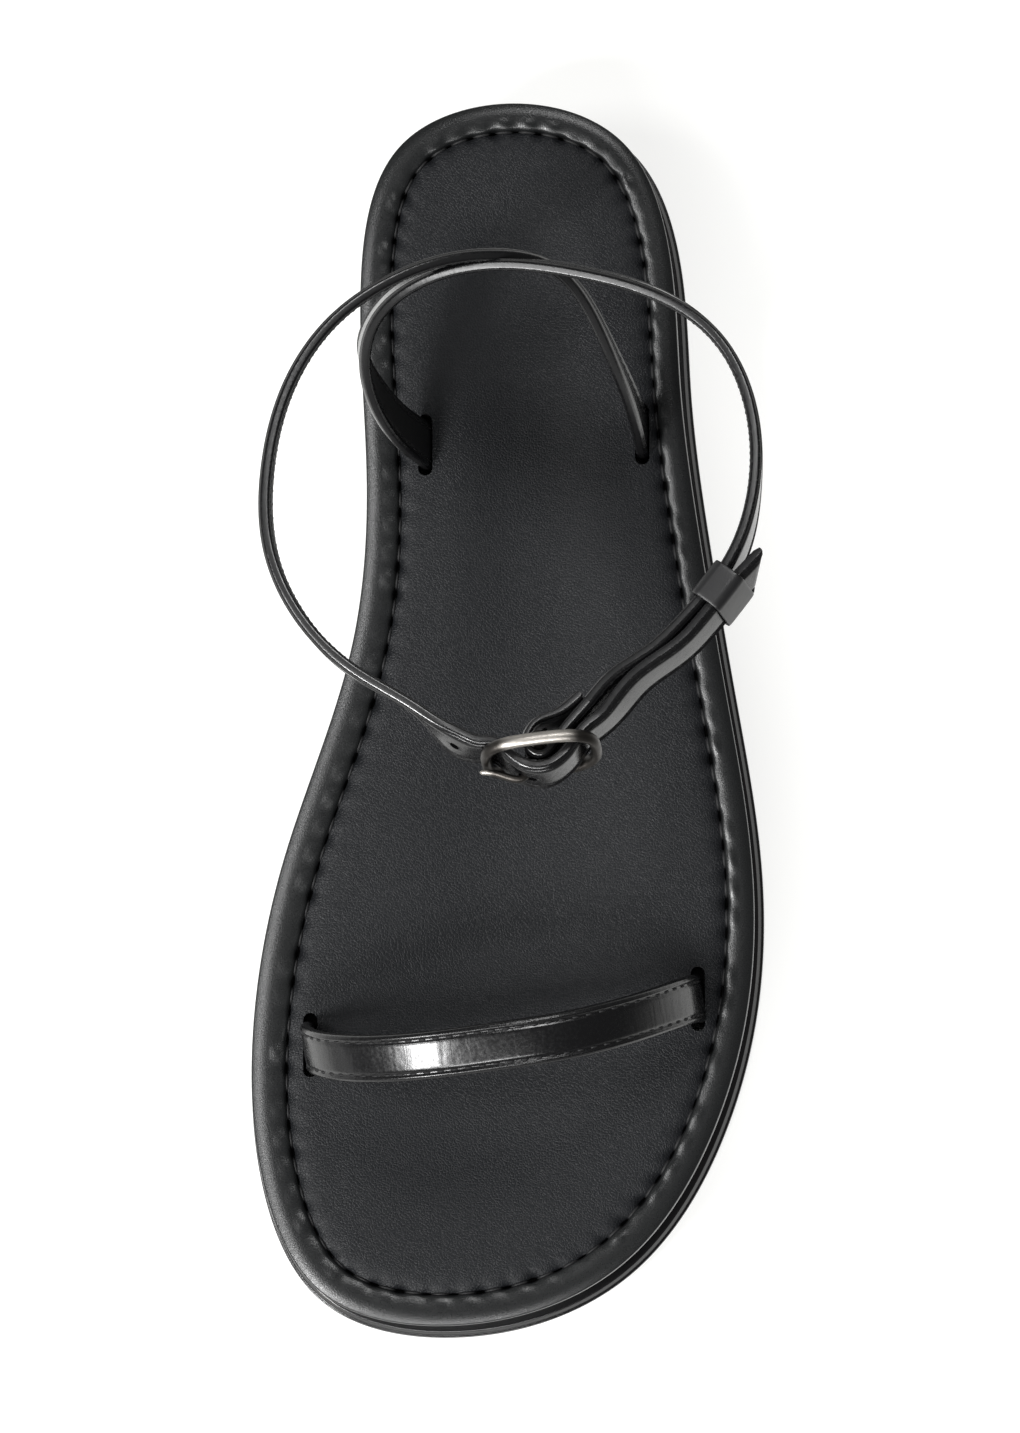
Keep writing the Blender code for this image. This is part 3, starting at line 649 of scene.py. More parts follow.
def strap_section(width, thick):
    """Cut of a strap: columns of across and out, then marks for its cut edge and its lining.

    The outer face is crowned and has a soft channel for each stitch row, and the corners are
    quarter circles.
    """
    half, deep, corner = width / 2.0, thick / 2.0, STRAP_CORNER
    flat = np.linspace(corner - half, half - corner, 37)
    row = half - ROW_INSET
    channel = ROW_CHANNEL * np.exp(-((np.abs(flat) - row) / ROW_SPREAD) ** 2)
    crown = STRAP_CROWN * (1.0 - (flat / half) ** 2)
    crown += EDGE_BEAD * np.exp(-((np.abs(flat) - half + 0.75) / 0.35) ** 2)
    turn = np.radians(np.linspace(90.0, 0.0, 7)[1:])
    outer = np.column_stack([flat, deep + crown - channel])
    bend = np.column_stack([half - corner + corner * np.cos(turn), deep - corner + corner * np.sin(turn)])
    side = np.concatenate([bend, (bend * (1.0, -1.0))[::-1]])
    inner = np.column_stack([flat[::-1], -deep + 0.6 * channel[::-1]])
    section = np.concatenate([outer, side, inner, -side])
    edge = smooth((np.abs(section[:, 0]) - half + 0.02) / 0.02)
    lining = smooth((half - corner - np.abs(section[:, 0])) / 0.3) * (section[:, 1] < 0.0)
    return section, edge, lining


def ribbon(route, full_width, thick=1.0, slant=0.0):
    """Grid of a strap along its route, with the marks of its edge and lining.

    Each loop is the strap's cut, thinned by a factor. The last end is sheared to a slant, and
    both ends are rounded as a quarter circle.
    """
    section, edge, lining = strap_section(full_width, STRAP_THICK)
    to_end = route.distance[-1] - route.distance
    shear = slant / full_width * np.clip(1.0 - to_end / TIP_LENGTH, 0.0, 1.0)
    lean = route.width + route.tangent * shear[:, None]
    thin = np.broadcast_to(thick, route.distance.shape) * np.where(to_end < 1e-6, 0.6, 1.0)
    across = lean[:, None] * section[None, :, :1]
    out = route.face[:, None] * section[None, :, 1:] * thin[:, None, None]
    grid = route.points[:, None] + across + out
    marks = {"edge": np.tile(edge, len(grid)), "lining": np.tile(lining, len(grid))}
    marks["run"] = np.repeat(route.distance, len(section))
    return grid, marks


def stitch_row(route, at, across, out, length, gauge, arch=0.35):
    """Grids of short threads lying along a route, one at each distance.

    Each is a tube whose radius falls as a quartic towards its ends, on a low parabola.
    """
    points, tangent, width, face = [rows[:, None, None] for rows in route.at(at)]
    along = np.linspace(-1.0, 1.0, 7)[:, None, None]
    turn = (TURN * np.arange(8) / 8.0)[None, :, None]
    radius = gauge * np.sqrt(1.0 - 0.96 * along ** 4)
    lift = out + gauge * arch * (1.0 - 3.0 * along ** 2)
    spread = across + radius * np.cos(turn)
    raise_by = lift + radius * np.sin(turn)
    return points + tangent * along * length / 2.0 + width * spread + face * raise_by


def strap_stitches(route, start, stop, full_width, thick=STRAP_THICK):
    """Stitch rows beside both edges, on the outer face and the lining."""
    at = np.arange(start, stop, STITCH_PITCH)
    row = full_width / 2.0 - ROW_INSET
    out = thick / 2.0 - ROW_CHANNEL - 0.06 + STRAP_CROWN * (1.0 - (row * 2.0 / full_width) ** 2)
    runs = []
    for across in (-row, row):
        runs.append(stitch_row(route, at, across, out, STITCH_LENGTH, STITCH_GAUGE))
        runs.append(stitch_row(route, at, across, 0.2 - thick / 2.0, STITCH_LENGTH, STITCH_GAUGE))
    return np.concatenate(runs)


def make_seam_thread(sole, look):
    """Thread of the footbed seam: one low arch from each needle hole to the next."""
    line = sole.loop(below_crest(SEAM_DEPTH - 0.3), inset=sole.seam + 0.5 * SEAT_GAP)
    line = np.concatenate([line, line[:1]])
    tangent = unit(np.roll(line[:-1], -1, axis=0) - np.roll(line[:-1], 1, axis=0))
    tangent = np.concatenate([tangent, tangent[:1]])
    face = np.broadcast_to((0.0, 0.0, 1.0), line.shape)
    route = Route(sole.run, line, tangent, np.cross(face, tangent), face)
    at = np.interp(np.arange(sole.stitches) + 0.5, sole.turns, sole.run)
    grid = stitch_row(route, at, 0.0, 0.0, SEAM_STITCH_LENGTH, SEAM_THREAD, 0.6)
    return lofted("seam_thread", grid, look)


def buckle_axes():
    """Directions along the frame, out from it and up its bar."""
    out = facing_vector(BUCKLE_FACING, BUCKLE_PITCH)
    along = facing_vector(BUCKLE_FACING + 90.0, 0.0)
    return along, out, np.cross(out, along)


def at_buckle(along, out, up=0.0):
    """Points in the buckle's own directions, from arrays of along, out and up."""
    axes = buckle_axes()
    parts = np.broadcast_arrays(along, out, up)
    return BUCKLE_CENTRE + sum(part[..., None] * axis for part, axis in zip(parts, axes))


def chape_axes():
    """Directions from the bar along the folded strap end, and out from its face."""
    up = buckle_axes()[2]
    way = facing_vector(CHAPE_HEADING, 0.0)
    way = unit(way - up * np.dot(way, up))
    return way, np.cross(way, up), up


def angles(face):
    """Heading in plan and pitch of a direction, in degrees."""
    return math.degrees(math.atan2(face[1], face[0])), math.degrees(math.asin(face[2]))


def with_facing(rows, after, slot_facing, side):
    """Add the facing of the outer face in plan before each row's pitch.

    It is square to the route in plan, on the given side. The slot's facing holds for the first
    rows and turns evenly into the route's own.
    """
    rows = np.array(rows)
    plan = np.concatenate([rows[:, :2], [after[:2]]])
    step = np.gradient(plan, axis=0)[:-1]
    facing = np.degrees(np.unwrap(np.arctan2(step[:, 1], step[:, 0]))) + 90.0 * side
    last = SLOT_ROWS + TURN_ROWS - 1
    facing += 360.0 * np.round((slot_facing - facing[last]) / 360.0)
    share = np.clip((np.arange(last) - SLOT_ROWS + 1) / TURN_ROWS, 0.0, 1.0)
    facing[:last] = slot_facing + (facing[last] - slot_facing) * share
    return np.column_stack([rows[:, :3], facing, rows[:, 3]])


def buckle_strap_route():
    """The inner-slot strap, carried on into the folded end at the bar."""
    way, out, up = chape_axes()
    ends = [BUCKLE_CENTRE + way * reach for reach in (CHAPE_LENGTH, CHAPE_LENGTH - CHAPE_LAP)]
    table = with_facing(BUCKLE_STRAP, ends[0], BUCKLE_STRAP_SLOT_FACING, 1.0)
    tail = [np.append(spot, angles(out)) for spot in ends]
    return strap_route(np.concatenate([table, tail]))


def from_bar(route, reach):
    """Point, tangent, width and outer face of the buckle strap at a distance from the bar."""
    return route.at(route.distance[-1] + CHAPE_LENGTH - CHAPE_LAP - reach)


def tail_strap_route(strap):
    """The outer-slot strap, then its way through the buckle and on the other strap."""
    flat = np.array(TAIL_IN_BUCKLE)
    step = unit(np.gradient(flat, axis=0))
    frame_way, frame_out, up = buckle_axes()
    spots = list(at_buckle(flat[:, 0], flat[:, 1]))
    faces = [frame_out * a - frame_way * b for a, b in step]
    for reach, lay, lean in TAIL_ON_STRAP:
        point, tangent, width, face = from_bar(strap, reach)
        lean = math.radians(lean)
        spots.append(point + face * lay)
        faces.append(face * math.cos(lean) - width * math.sin(lean))
    table = with_facing(TAIL_STRAP, spots[0], TAIL_STRAP_SLOT_FACING, -1.0)
    turns = np.array([angles(row) for row in faces])
    turns[:, 0] = turns[:, 0] % 360.0
    return strap_route(np.concatenate([table, np.column_stack([spots, turns])]))


def fold_route():
    """The folded strap end: up to the bar, round it and back along the lining."""
    way, out, up = chape_axes()
    table = np.array(CHAPE_FOLD)
    knots = chord_knots(table[:, :2])
    query = np.linspace(0.0, knots[-1], int(knots[-1] / 0.5))
    rows = spline(knots, table, query)
    ahead = spline_way(knots, table[:, :2], query)
    points = BUCKLE_CENTRE + rows[:, :1] * way + rows[:, 1:2] * out
    tangent = ahead[:, :1] * way + ahead[:, 1:] * out
    width = np.broadcast_to(-up, points.shape)
    return Route(query, points, tangent, width, np.cross(tangent, width)), rows[:, 2] / STRAP_THICK


def box_loops(axes, centre, half):
    """Two square loops that bound a box of these half sizes."""
    corners = np.array([(-1.0, -1.0), (1.0, -1.0), (1.0, 1.0), (-1.0, 1.0)]) * half[:2]
    flat = centre + corners[:, :1] * axes[0] + corners[:, 1:] * axes[1]
    return [flat - axes[2] * half[2], flat + axes[2] * half[2]]


def hole_prisms(route, at, length):
    """Prisms with round ends through a strap at these distances, along its outer face."""
    flat = rounded_slot(length, 2.0 * HOLE_RADIUS, 24)
    points, tangent, width, face = [rows[:, None] for rows in route.at(at)]
    middle = points + tangent * flat[:, 1:] + width * flat[:, :1]
    return np.stack([middle - face * 3.0, middle + face * 3.0], axis=1)


def make_buckle_strap(route, look):
    """The inner-slot strap with its folded end, slotted there for the prong."""
    main = route.until(route.distance[-1] - CHAPE_LAP)
    fold, thin = fold_route()
    parts = [np.concatenate(pair) for pair in (
        (main.distance, fold.distance + main.distance[-1] + STATION),
        (main.points, fold.points),
        (main.tangent, fold.tangent),
        (main.width, fold.width),
        (main.face, fold.face),
    )]
    grid, marks = ribbon(Route(*parts), STRAP_WIDTH, np.concatenate([np.ones(len(main.distance)), thin]))
    strap = lofted("buckle_band", grid, look, marks=marks)
    gate_half = (*CHAPE_GATE_HALF, PRONG_WIRE / 2.0 + CHAPE_GATE_PLAY)
    gate = box_loops(chape_axes(), BUCKLE_CENTRE, gate_half)
    cut(strap, lofted("gate cutter", gate, look))
    return strap


def make_tail_strap(route, look):
    """The outer-slot strap with its slanted tip, the prong's hole and the spare holes."""
    grid, marks = ribbon(route, STRAP_WIDTH, slant=TIP_SLANT)
    strap = lofted("tail_band", grid, look, marks=marks)
    prong_spot = at_buckle(*PRONG_THROUGH)
    prong_at = route.distance[np.argmin(np.linalg.norm(route.points - prong_spot, axis=1))]
    spare_at = prong_at - HOLE_SPACING * np.arange(1.0, SPARE_HOLES + 1.0)
    slit = hole_prisms(route, np.array([prong_at]), PRONG_HOLE_LENGTH)
    spare = hole_prisms(route, spare_at, SPARE_HOLE_LENGTH)
    cut(strap, lofted("hole cutter", np.concatenate([slit, spare]), look))
    return strap


def tube(points, across, up, radius, sides):
    """Round tube: each loop is a circle in the two directions given at its point."""
    turn = (TURN * np.arange(sides) / sides)[None, :, None]
    circle = across[:, None] * np.cos(turn) + up[:, None] * np.sin(turn)
    return points[:, None] + circle * np.reshape(radius, (-1, 1, 1))


def make_buckle_rim(look):
    """Buckle frame: an oval bar carried round a squared oval, with a painted highlight along its top."""
    axes = buckle_axes()
    half = FRAME_BAR / 2.0
    long_half = FRAME_LENGTH / 2.0 - half
    tall_half = FRAME_HEIGHT / 2.0 - half
    turn = TURN * (np.arange(240) + 0.5) / 240.0
    wave = np.stack([np.cos(turn), np.sin(turn)])
    power = 2.0 / FRAME_SQUARE
    oval = np.sign(wave) * np.abs(wave) ** power
    steep = np.sign(wave) * np.abs(wave) ** (2.0 - power)
    points = at_buckle(oval[0] * long_half, FRAME_LIFT, oval[1] * tall_half)
    out = unit(np.stack([steep[0] / long_half, steep[1] / tall_half], axis=1))
    across = out[:, :1] * axes[0] + out[:, 1:] * axes[2]
    up = np.broadcast_to(axes[1] * FRAME_DEPTH / FRAME_BAR, across.shape)
    # The mark paints a highlight along the frame's top; the rest of the frame is painted in shade.
    marks = {"painted_highlight_mark": np.repeat(smooth(oval[1] * 7.0 - 6.0), 20)}
    return lofted("buckle_rim", tube(points, across, up, half, 20), look, ring=True, marks=marks)


def make_buckle_bar(look):
    """Centre bar of the buckle, flared where it meets the frame."""
    axes = buckle_axes()
    tall_half = FRAME_HEIGHT / 2.0 - FRAME_BAR / 2.0
    level = np.linspace(-1.0, 1.0, 24)
    points = at_buckle(0.0, 0.0, level * (tall_half + 0.2))
    across = np.broadcast_to(axes[0], points.shape)
    out = np.broadcast_to(axes[1], points.shape)
    flare = 0.35 * np.clip(np.abs(level) * 5.0 - 4.0, 0.0, 1.0) ** 2
    grid = tube(points, across, out, CENTRE_BAR / 2.0 + flare, 16)
    # No mark on the bar: all of it is painted in shade.
    return lofted("buckle_bar", grid, look, marks={"painted_highlight_mark": np.zeros(grid.shape[:2])})


def make_prong(look):
    """Bent wire: a hook round the bar, then an arm through the tail to the frame's end."""
    radius = CENTRE_BAR / 2.0 + 0.3 + PRONG_WIRE / 2.0
    turn = np.radians(np.linspace(60.0, -180.0, 12))
    path = np.concatenate([np.column_stack([np.cos(turn), np.sin(turn)]) * radius, PRONG_ARM])
    knots = chord_knots(path)
    query = np.linspace(0.0, knots[-1], 90)
    flat = spline(knots, path, query)
    ahead = spline_way(knots, path, query)
    axes = buckle_axes()
    across = -ahead[:, 1:] * axes[0] + ahead[:, :1] * axes[1]
    up = np.broadcast_to(axes[2], across.shape)
    to_end = knots[-1] - query
    taper = 1.0 - 0.35 * np.clip(1.0 - to_end / 4.0, 0.0, 1.0)
    taper *= np.sqrt(np.clip(to_end / 0.5, 0.06, 1.0))
    points = at_buckle(flat[:, 0], flat[:, 1])
    grid = tube(points, across, up, PRONG_WIRE / 2.0 * taper, 14)
    # The mark paints a highlight on the prong's tip; the rest of the wire is painted in shade.
    marks = {"painted_highlight_mark": np.repeat(smooth(1.2 - to_end / 2.5), 14)}
    return lofted("buckle_prong_wire", grid, look, marks=marks)


def rounded_polygon(corners, radius, steps):
    """Outline and outward directions of a polygon whose corners are rounded to a radius."""
    corners = np.array(corners)
    before = unit(np.roll(corners, 1, axis=0) - corners)
    after = unit(np.roll(corners, -1, axis=0) - corners)
    half = 0.5 * np.arccos(np.sum(before * after, axis=1))
    centre = corners + unit(before + after) * (radius / np.sin(half))[:, None]
    start = np.stack([-before[:, 1], before[:, 0]], axis=1)
    end = np.stack([after[:, 1], -after[:, 0]], axis=1)
    share = np.linspace(0.0, 1.0, steps)[None, :, None]
    out = unit(start[:, None] * (1.0 - share) + end[:, None] * share).reshape(-1, 2)
    return np.repeat(centre, steps, axis=0) + out * radius, out


def make_keeper(strap, look):
    """Leather loop round the strap and its tail, wider below, where the tail leans out.

    A thin band with rounded edges is carried round a rounded four-sided outline.
    """
    point, tangent, width, face = from_bar(strap, KEEPER_FROM_BAR)
    reach, lay, lean = np.transpose(TAIL_ON_STRAP)
    lay = np.interp(KEEPER_FROM_BAR, reach, lay)
    spread = STRAP_WIDTH / 2.0 * math.sin(math.radians(np.interp(KEEPER_FROM_BAR, reach, lean)))
    grow = KEEPER_PLAY + KEEPER_WALL / 2.0
    low = -STRAP_THICK / 2.0 - grow
    high = lay + STRAP_THICK / 2.0 + grow - 0.3
    side = STRAP_WIDTH / 2.0 + grow
    corners = [(0.25 - side, low), (side, low), (side, high - spread), (0.25 - side, high + spread)]
    flat, out = rounded_polygon(corners, 1.7, 11)
    turn = TURN * np.arange(24) / 24.0
    wave = np.stack([np.cos(turn), np.sin(turn)])
    band = np.sign(wave) * np.abs(wave) ** 0.4 * ((KEEPER_LENGTH / 2.0,), (KEEPER_WALL / 2.0,))
    axes = (-width, face, -tangent)
    ring = flat[:, None] + out[:, None] * band[1][None, :, None]
    grid = point + ring[..., :1] * axes[0] + ring[..., 1:] * axes[1] + band[0][None, :, None] * axes[2]
    edge = np.clip(np.abs(band[0]) / (KEEPER_LENGTH / 2.0) * 8.0 - 7.0, 0.0, 1.0)
    marks = {"edge": np.tile(edge, len(flat)), "lining": np.full(len(flat) * 24, 0.8)}
    marks["run"] = np.tile(band[0], len(flat))
    return lofted("keeper_loop", grid, look, ring=True, marks=marks)


def linear(code):
    """Linear colour of an sRGB hex code."""
    parts = [int(code[i:i + 2], 16) / 255.0 for i in (1, 3, 5)]
    parts = [c / 12.92 if c <= 0.04045 else ((c + 0.055) / 1.055) ** 2.4 for c in parts]
    return (*parts, 1.0)


def add(tree, kind, inputs=None, **settings):
    """Add a shader node, set its properties, and set or link its inputs."""
    made = tree.nodes.new(kind)
    for name, value in settings.items():
        setattr(made, name, value)
    for name, value in (inputs or {}).items():
        if isinstance(value, bpy.types.NodeSocket):
            tree.links.new(value, made.inputs[name])
        else:
            made.inputs[name].default_value = value
    return made


def new_material(name):
    """Empty material with a Principled shader: its tree, its shader and Object coordinates."""
    made = bpy.data.materials.new(name)
    made.use_nodes = True
    tree = made.node_tree
    place = add(tree, "ShaderNodeTexCoord").outputs["Object"]
    return made, tree, tree.nodes["Principled BSDF"], place


def per_mm(size):
    """Texture scale that gives a pattern of this size in millimetres."""
    return 1.0 / (size * MM)


def drum_dyed_leather(name, tone, worn, rough, grain, depth, specular):
    """Drum-dyed black calf: fine pebbled grain, soft clouds of tone, uneven sheen.

    The grain is flat cells with narrow valleys, drawn a little coarser than real so that it shows.
    """
    made, tree, shader, place = new_material(name)
    cells = add(tree, "ShaderNodeTexVoronoi", {"Vector": place, "Scale": per_mm(grain)},
                feature="DISTANCE_TO_EDGE")
    valley = add(tree, "ShaderNodeMapRange", {"Value": cells.outputs["Distance"], "From Max": 0.22},
                 interpolation_type="SMOOTHSTEP")
    dust = add(tree, "ShaderNodeTexNoise", {"Vector": place, "Scale": per_mm(grain * 0.45), "Detail": 3.0})
    height = add(tree, "ShaderNodeMath", {0: valley.outputs["Result"], 1: dust.outputs["Fac"]},
                 operation="ADD")
    bump = add(tree, "ShaderNodeBump", {"Height": height.outputs["Value"], "Distance": depth * MM})
    cloud = add(tree, "ShaderNodeTexNoise", {"Vector": place, "Scale": per_mm(30.0), "Detail": 4.0})
    tint = add(tree, "ShaderNodeMix", {"Factor": cloud.outputs["Fac"], "A": linear(tone), "B": linear(worn)},
               data_type="RGBA")
    gloss = add(tree, "ShaderNodeMapRange", {"Value": dust.outputs["Fac"], "From Min": 0.3, "From Max": 0.7,
                                             "To Min": rough - 0.05, "To Max": rough + 0.07})
    tree.links.new(tint.outputs["Result"], shader.inputs["Base Color"])
    tree.links.new(gloss.outputs["Result"], shader.inputs["Roughness"])
    tree.links.new(bump.outputs["Normal"], shader.inputs["Normal"])
    shader.inputs["Specular IOR Level"].default_value = specular
    return made


def polished_strap_leather():
    """Box calf, plated and polished black: a tight gloss, with duller lining and painted cut edges.

    The marks of the strap's cut part the polished face from its edge and its lining, and its run
    sets fine creases across it.
    """
    made, tree, shader, place = new_material("plated box calf")
    edge = add(tree, "ShaderNodeAttribute", attribute_name="edge").outputs["Fac"]
    lining = add(tree, "ShaderNodeAttribute", attribute_name="lining").outputs["Fac"]
    run = add(tree, "ShaderNodeAttribute", attribute_name="run").outputs["Fac"]
    dust = add(tree, "ShaderNodeTexNoise", {"Vector": place, "Scale": per_mm(0.6), "Detail": 4.0})
    wave = add(tree, "ShaderNodeTexNoise", {"Vector": place, "Scale": per_mm(5.0), "Detail": 2.0})
    bent = add(tree, "ShaderNodeMath", {0: wave.outputs["Fac"], 1: 3.0, 2: run}, operation="MULTIPLY_ADD")
    crease = add(tree, "ShaderNodeTexNoise", {"W": bent.outputs["Value"], "Scale": 0.62, "Detail": 2.5},
                 noise_dimensions="1D")
    fine = add(tree, "ShaderNodeBump", {"Height": dust.outputs["Fac"], "Distance": 0.012 * MM})
    lines = add(tree, "ShaderNodeBump", {"Height": crease.outputs["Fac"], "Distance": 0.036 * MM,
                                         "Normal": fine.outputs["Normal"]})
    bump = add(tree, "ShaderNodeBump", {"Height": wave.outputs["Fac"], "Distance": 0.08 * MM,
                                        "Normal": lines.outputs["Normal"]})
    gloss = add(tree, "ShaderNodeMapRange", {"Value": dust.outputs["Fac"], "From Min": 0.3, "From Max": 0.7,
                                             "To Min": 0.2, "To Max": 0.3})
    matt = add(tree, "ShaderNodeMix", {"Factor": lining, "A": gloss.outputs["Result"], "B": 0.45})
    painted = add(tree, "ShaderNodeMix", {"Factor": edge, "A": matt.outputs["Result"], "B": 0.38})
    body = add(tree, "ShaderNodeMix", {"Factor": lining, "A": linear("#080809"), "B": linear("#121213")},
               data_type="RGBA")
    tint = add(tree, "ShaderNodeMix", {"Factor": edge, "A": body.outputs["Result"], "B": linear("#070708")},
               data_type="RGBA")
    tree.links.new(tint.outputs["Result"], shader.inputs["Base Color"])
    tree.links.new(painted.outputs["Result"], shader.inputs["Roughness"])
    tree.links.new(bump.outputs["Normal"], shader.inputs["Normal"])
    shader.inputs["Specular IOR Level"].default_value = 0.6
    return made


def sheet_rubber():
    """Moulded sheet rubber: smooth deep black with a low gloss and fine pits."""
    made, tree, shader, place = new_material("moulded sheet rubber")
    pits = add(tree, "ShaderNodeTexNoise", {"Vector": place, "Scale": per_mm(0.9), "Detail": 5.0})
    bump = add(tree, "ShaderNodeBump", {"Height": pits.outputs["Fac"], "Distance": 0.03 * MM})
    tint = add(tree, "ShaderNodeMix", {"Factor": pits.outputs["Fac"], "A": linear("#060607"),
                                       "B": linear("#0c0c0d")}, data_type="RGBA")
    tree.links.new(tint.outputs["Result"], shader.inputs["Base Color"])
    tree.links.new(bump.outputs["Normal"], shader.inputs["Normal"])
    shader.inputs["Roughness"].default_value = 0.22
    shader.inputs["Specular IOR Level"].default_value = 0.7
    return made


def waxed_thread():
    """Waxed black polyester thread: twisted, with a dull sheen."""
    made, tree, shader, place = new_material("waxed polyester thread")
    twist = add(tree, "ShaderNodeTexNoise", {"Vector": place, "Scale": per_mm(0.35), "Detail": 2.0})
    bump = add(tree, "ShaderNodeBump", {"Height": twist.outputs["Fac"], "Distance": 0.08 * MM})
    tint = add(tree, "ShaderNodeMix", {"Factor": twist.outputs["Fac"], "A": linear("#0b0b0c"),
                                       "B": linear("#1d1d1e")}, data_type="RGBA")
    tree.links.new(tint.outputs["Result"], shader.inputs["Base Color"])
    tree.links.new(bump.outputs["Normal"], shader.inputs["Normal"])
    shader.inputs["Roughness"].default_value = 0.6
    shader.inputs["Specular IOR Level"].default_value = 0.3
    return made


def aged_nickel():
    """Tumbled nickel plate, aged: a warm grey metal, with a painted highlight along the frame's top and the
    prong's tip, and painted shade elsewhere.
    """
    made, tree, shader, place = new_material("tumbled aged nickel")
    cloud = add(tree, "ShaderNodeTexNoise", {"Vector": place, "Scale": per_mm(2.5), "Detail": 4.0})
    dents = add(tree, "ShaderNodeTexNoise", {"Vector": place, "Scale": per_mm(0.7), "Detail": 2.0})
    bump = add(tree, "ShaderNodeBump", {"Height": dents.outputs["Fac"], "Distance": 0.03 * MM})
    painted_highlight_mark = add(tree, "ShaderNodeAttribute", attribute_name="painted_highlight_mark").outputs["Fac"]
    # Shaded and lit copies of the metal's colour, mixed by the mark as painted shade and painted highlight.
    dull = add(tree, "ShaderNodeMix", {"Factor": cloud.outputs["Fac"], "A": linear("#2e2c2a"),
                                       "B": linear("#4a4744")}, data_type="RGBA")
    bright = add(tree, "ShaderNodeMix", {"Factor": cloud.outputs["Fac"], "A": linear("#9a9690"),
                                         "B": linear("#c6c1ba")}, data_type="RGBA")
    tint = add(tree, "ShaderNodeMix", {"Factor": painted_highlight_mark, "A": dull.outputs["Result"],
                                       "B": bright.outputs["Result"]}, data_type="RGBA")
    gloss = add(tree, "ShaderNodeMapRange", {"Value": cloud.outputs["Fac"], "To Min": 0.5, "To Max": 0.34})
    tree.links.new(tint.outputs["Result"], shader.inputs["Base Color"])
    tree.links.new(gloss.outputs["Result"], shader.inputs["Roughness"])
    tree.links.new(bump.outputs["Normal"], shader.inputs["Normal"])
    shader.inputs["Metallic"].default_value = 1.0
    return made


def make_floor():
    """White table under the sandal, whose painted glow lifts the shadows: a painted pool of light that dims
    further away, its colour darkening with it.
    """
    mesh = bpy.data.meshes.new("floor")
    corners = [(-1.0, -1.0), (1.0, -1.0), (1.0, 1.0), (-1.0, 1.0)]
    mesh.from_pydata([(x * TABLE_REACH, y * TABLE_REACH, 0.0) for x, y in corners], [], [(0, 1, 2, 3)])
    glow_floor_look = bpy.data.materials.new("white table with painted glow")
    glow_floor_look.use_nodes = True
    tree = glow_floor_look.node_tree
    shader = tree.nodes["Principled BSDF"]
    place = add(tree, "ShaderNodeTexCoord").outputs["Object"]
    # Painted pool of light: glow and colour are brightest round the spot and fade further out.
    away = add(tree, "ShaderNodeVectorMath", {0: place, 1: TABLE_BRIGHT_SPOT}, operation="DISTANCE")
    glow_fade = add(tree, "ShaderNodeMapRange", {"Value": away.outputs["Value"], "From Min": TABLE_BRIGHT_TO,
                                           "From Max": TABLE_DIM_FROM}, interpolation_type="SMOOTHSTEP")
    tint = add(tree, "ShaderNodeMix", {"Factor": glow_fade.outputs["Result"], "A": linear("#a0a09f"),
                                       "B": linear("#5c5c5b")}, data_type="RGBA")
    tree.links.new(tint.outputs["Result"], shader.inputs["Base Color"])
    tree.links.new(tint.outputs["Result"], shader.inputs["Emission Color"])
    shader.inputs["Roughness"].default_value = 0.9
    shader.inputs["Specular IOR Level"].default_value = 0.1
    shader.inputs["Emission Strength"].default_value = TABLE_GLOW
    mesh.materials.append(glow_floor_look)
    floor = bpy.data.objects.new("floor", mesh)
    bpy.context.scene.collection.objects.link(floor)


def aim(thing, spot, target, up):
    """Place a light or camera at a spot, looking at the target, with its top towards up."""
    spot = np.array(spot)
    back = unit(spot - np.array(target))
    right = unit(np.cross(up, back))
    turn = np.eye(4)
    turn[:3] = np.column_stack([right, np.cross(back, right), back, spot])
    thing.matrix_world = Matrix(turn.tolist())


def add_softbox(name, way, distance, size, power):
    """Rectangular area light in a direction from the sandal, its height towards the heel."""
    light = bpy.data.lights.new(name, "AREA")
    light.shape = "RECTANGLE"
    light.size, light.size_y = size
    light.energy = power
    made = bpy.data.objects.new(name, light)
    bpy.context.scene.collection.objects.link(made)
    aim(made, unit(np.array(way)) * distance, LIGHT_TARGET, (0.0, 1.0, 0.1))


def add_studio():
    """Dim studio with low white walls, darker on the outer side, and the softboxes."""
    world = bpy.data.worlds.new("studio")
    bpy.context.scene.world = world
    world.use_nodes = True
    tree = world.node_tree
    place = add(tree, "ShaderNodeTexCoord").outputs["Generated"]
    axes = add(tree, "ShaderNodeSeparateXYZ", {"Vector": place})
    wall = add(tree, "ShaderNodeMapRange", {"Value": axes.outputs["Z"], "From Min": 0.02,
                                            "From Max": WALL_TOP, "To Min": WALL_GLOW, "To Max": 0.0},
               interpolation_type="SMOOTHSTEP")
    side = add(tree, "ShaderNodeMapRange", {"Value": axes.outputs["X"], "From Min": -0.3, "From Max": 0.7,
                                            "To Min": 1.0, "To Max": DARK_SIDE},
               interpolation_type="SMOOTHSTEP")
    lit = add(tree, "ShaderNodeMath", {0: wall.outputs["Result"], 1: side.outputs["Result"]},
              operation="MULTIPLY")
    glow = add(tree, "ShaderNodeMath", {0: lit.outputs["Value"], 1: SKY_GLOW}, operation="ADD")
    tree.links.new(glow.outputs["Value"], tree.nodes["Background"].inputs["Strength"])
    tree.nodes["Background"].inputs["Color"].default_value = (1.0, 1.0, 1.0, 1.0)
    for row in SOFTBOXES:
        add_softbox(*row)


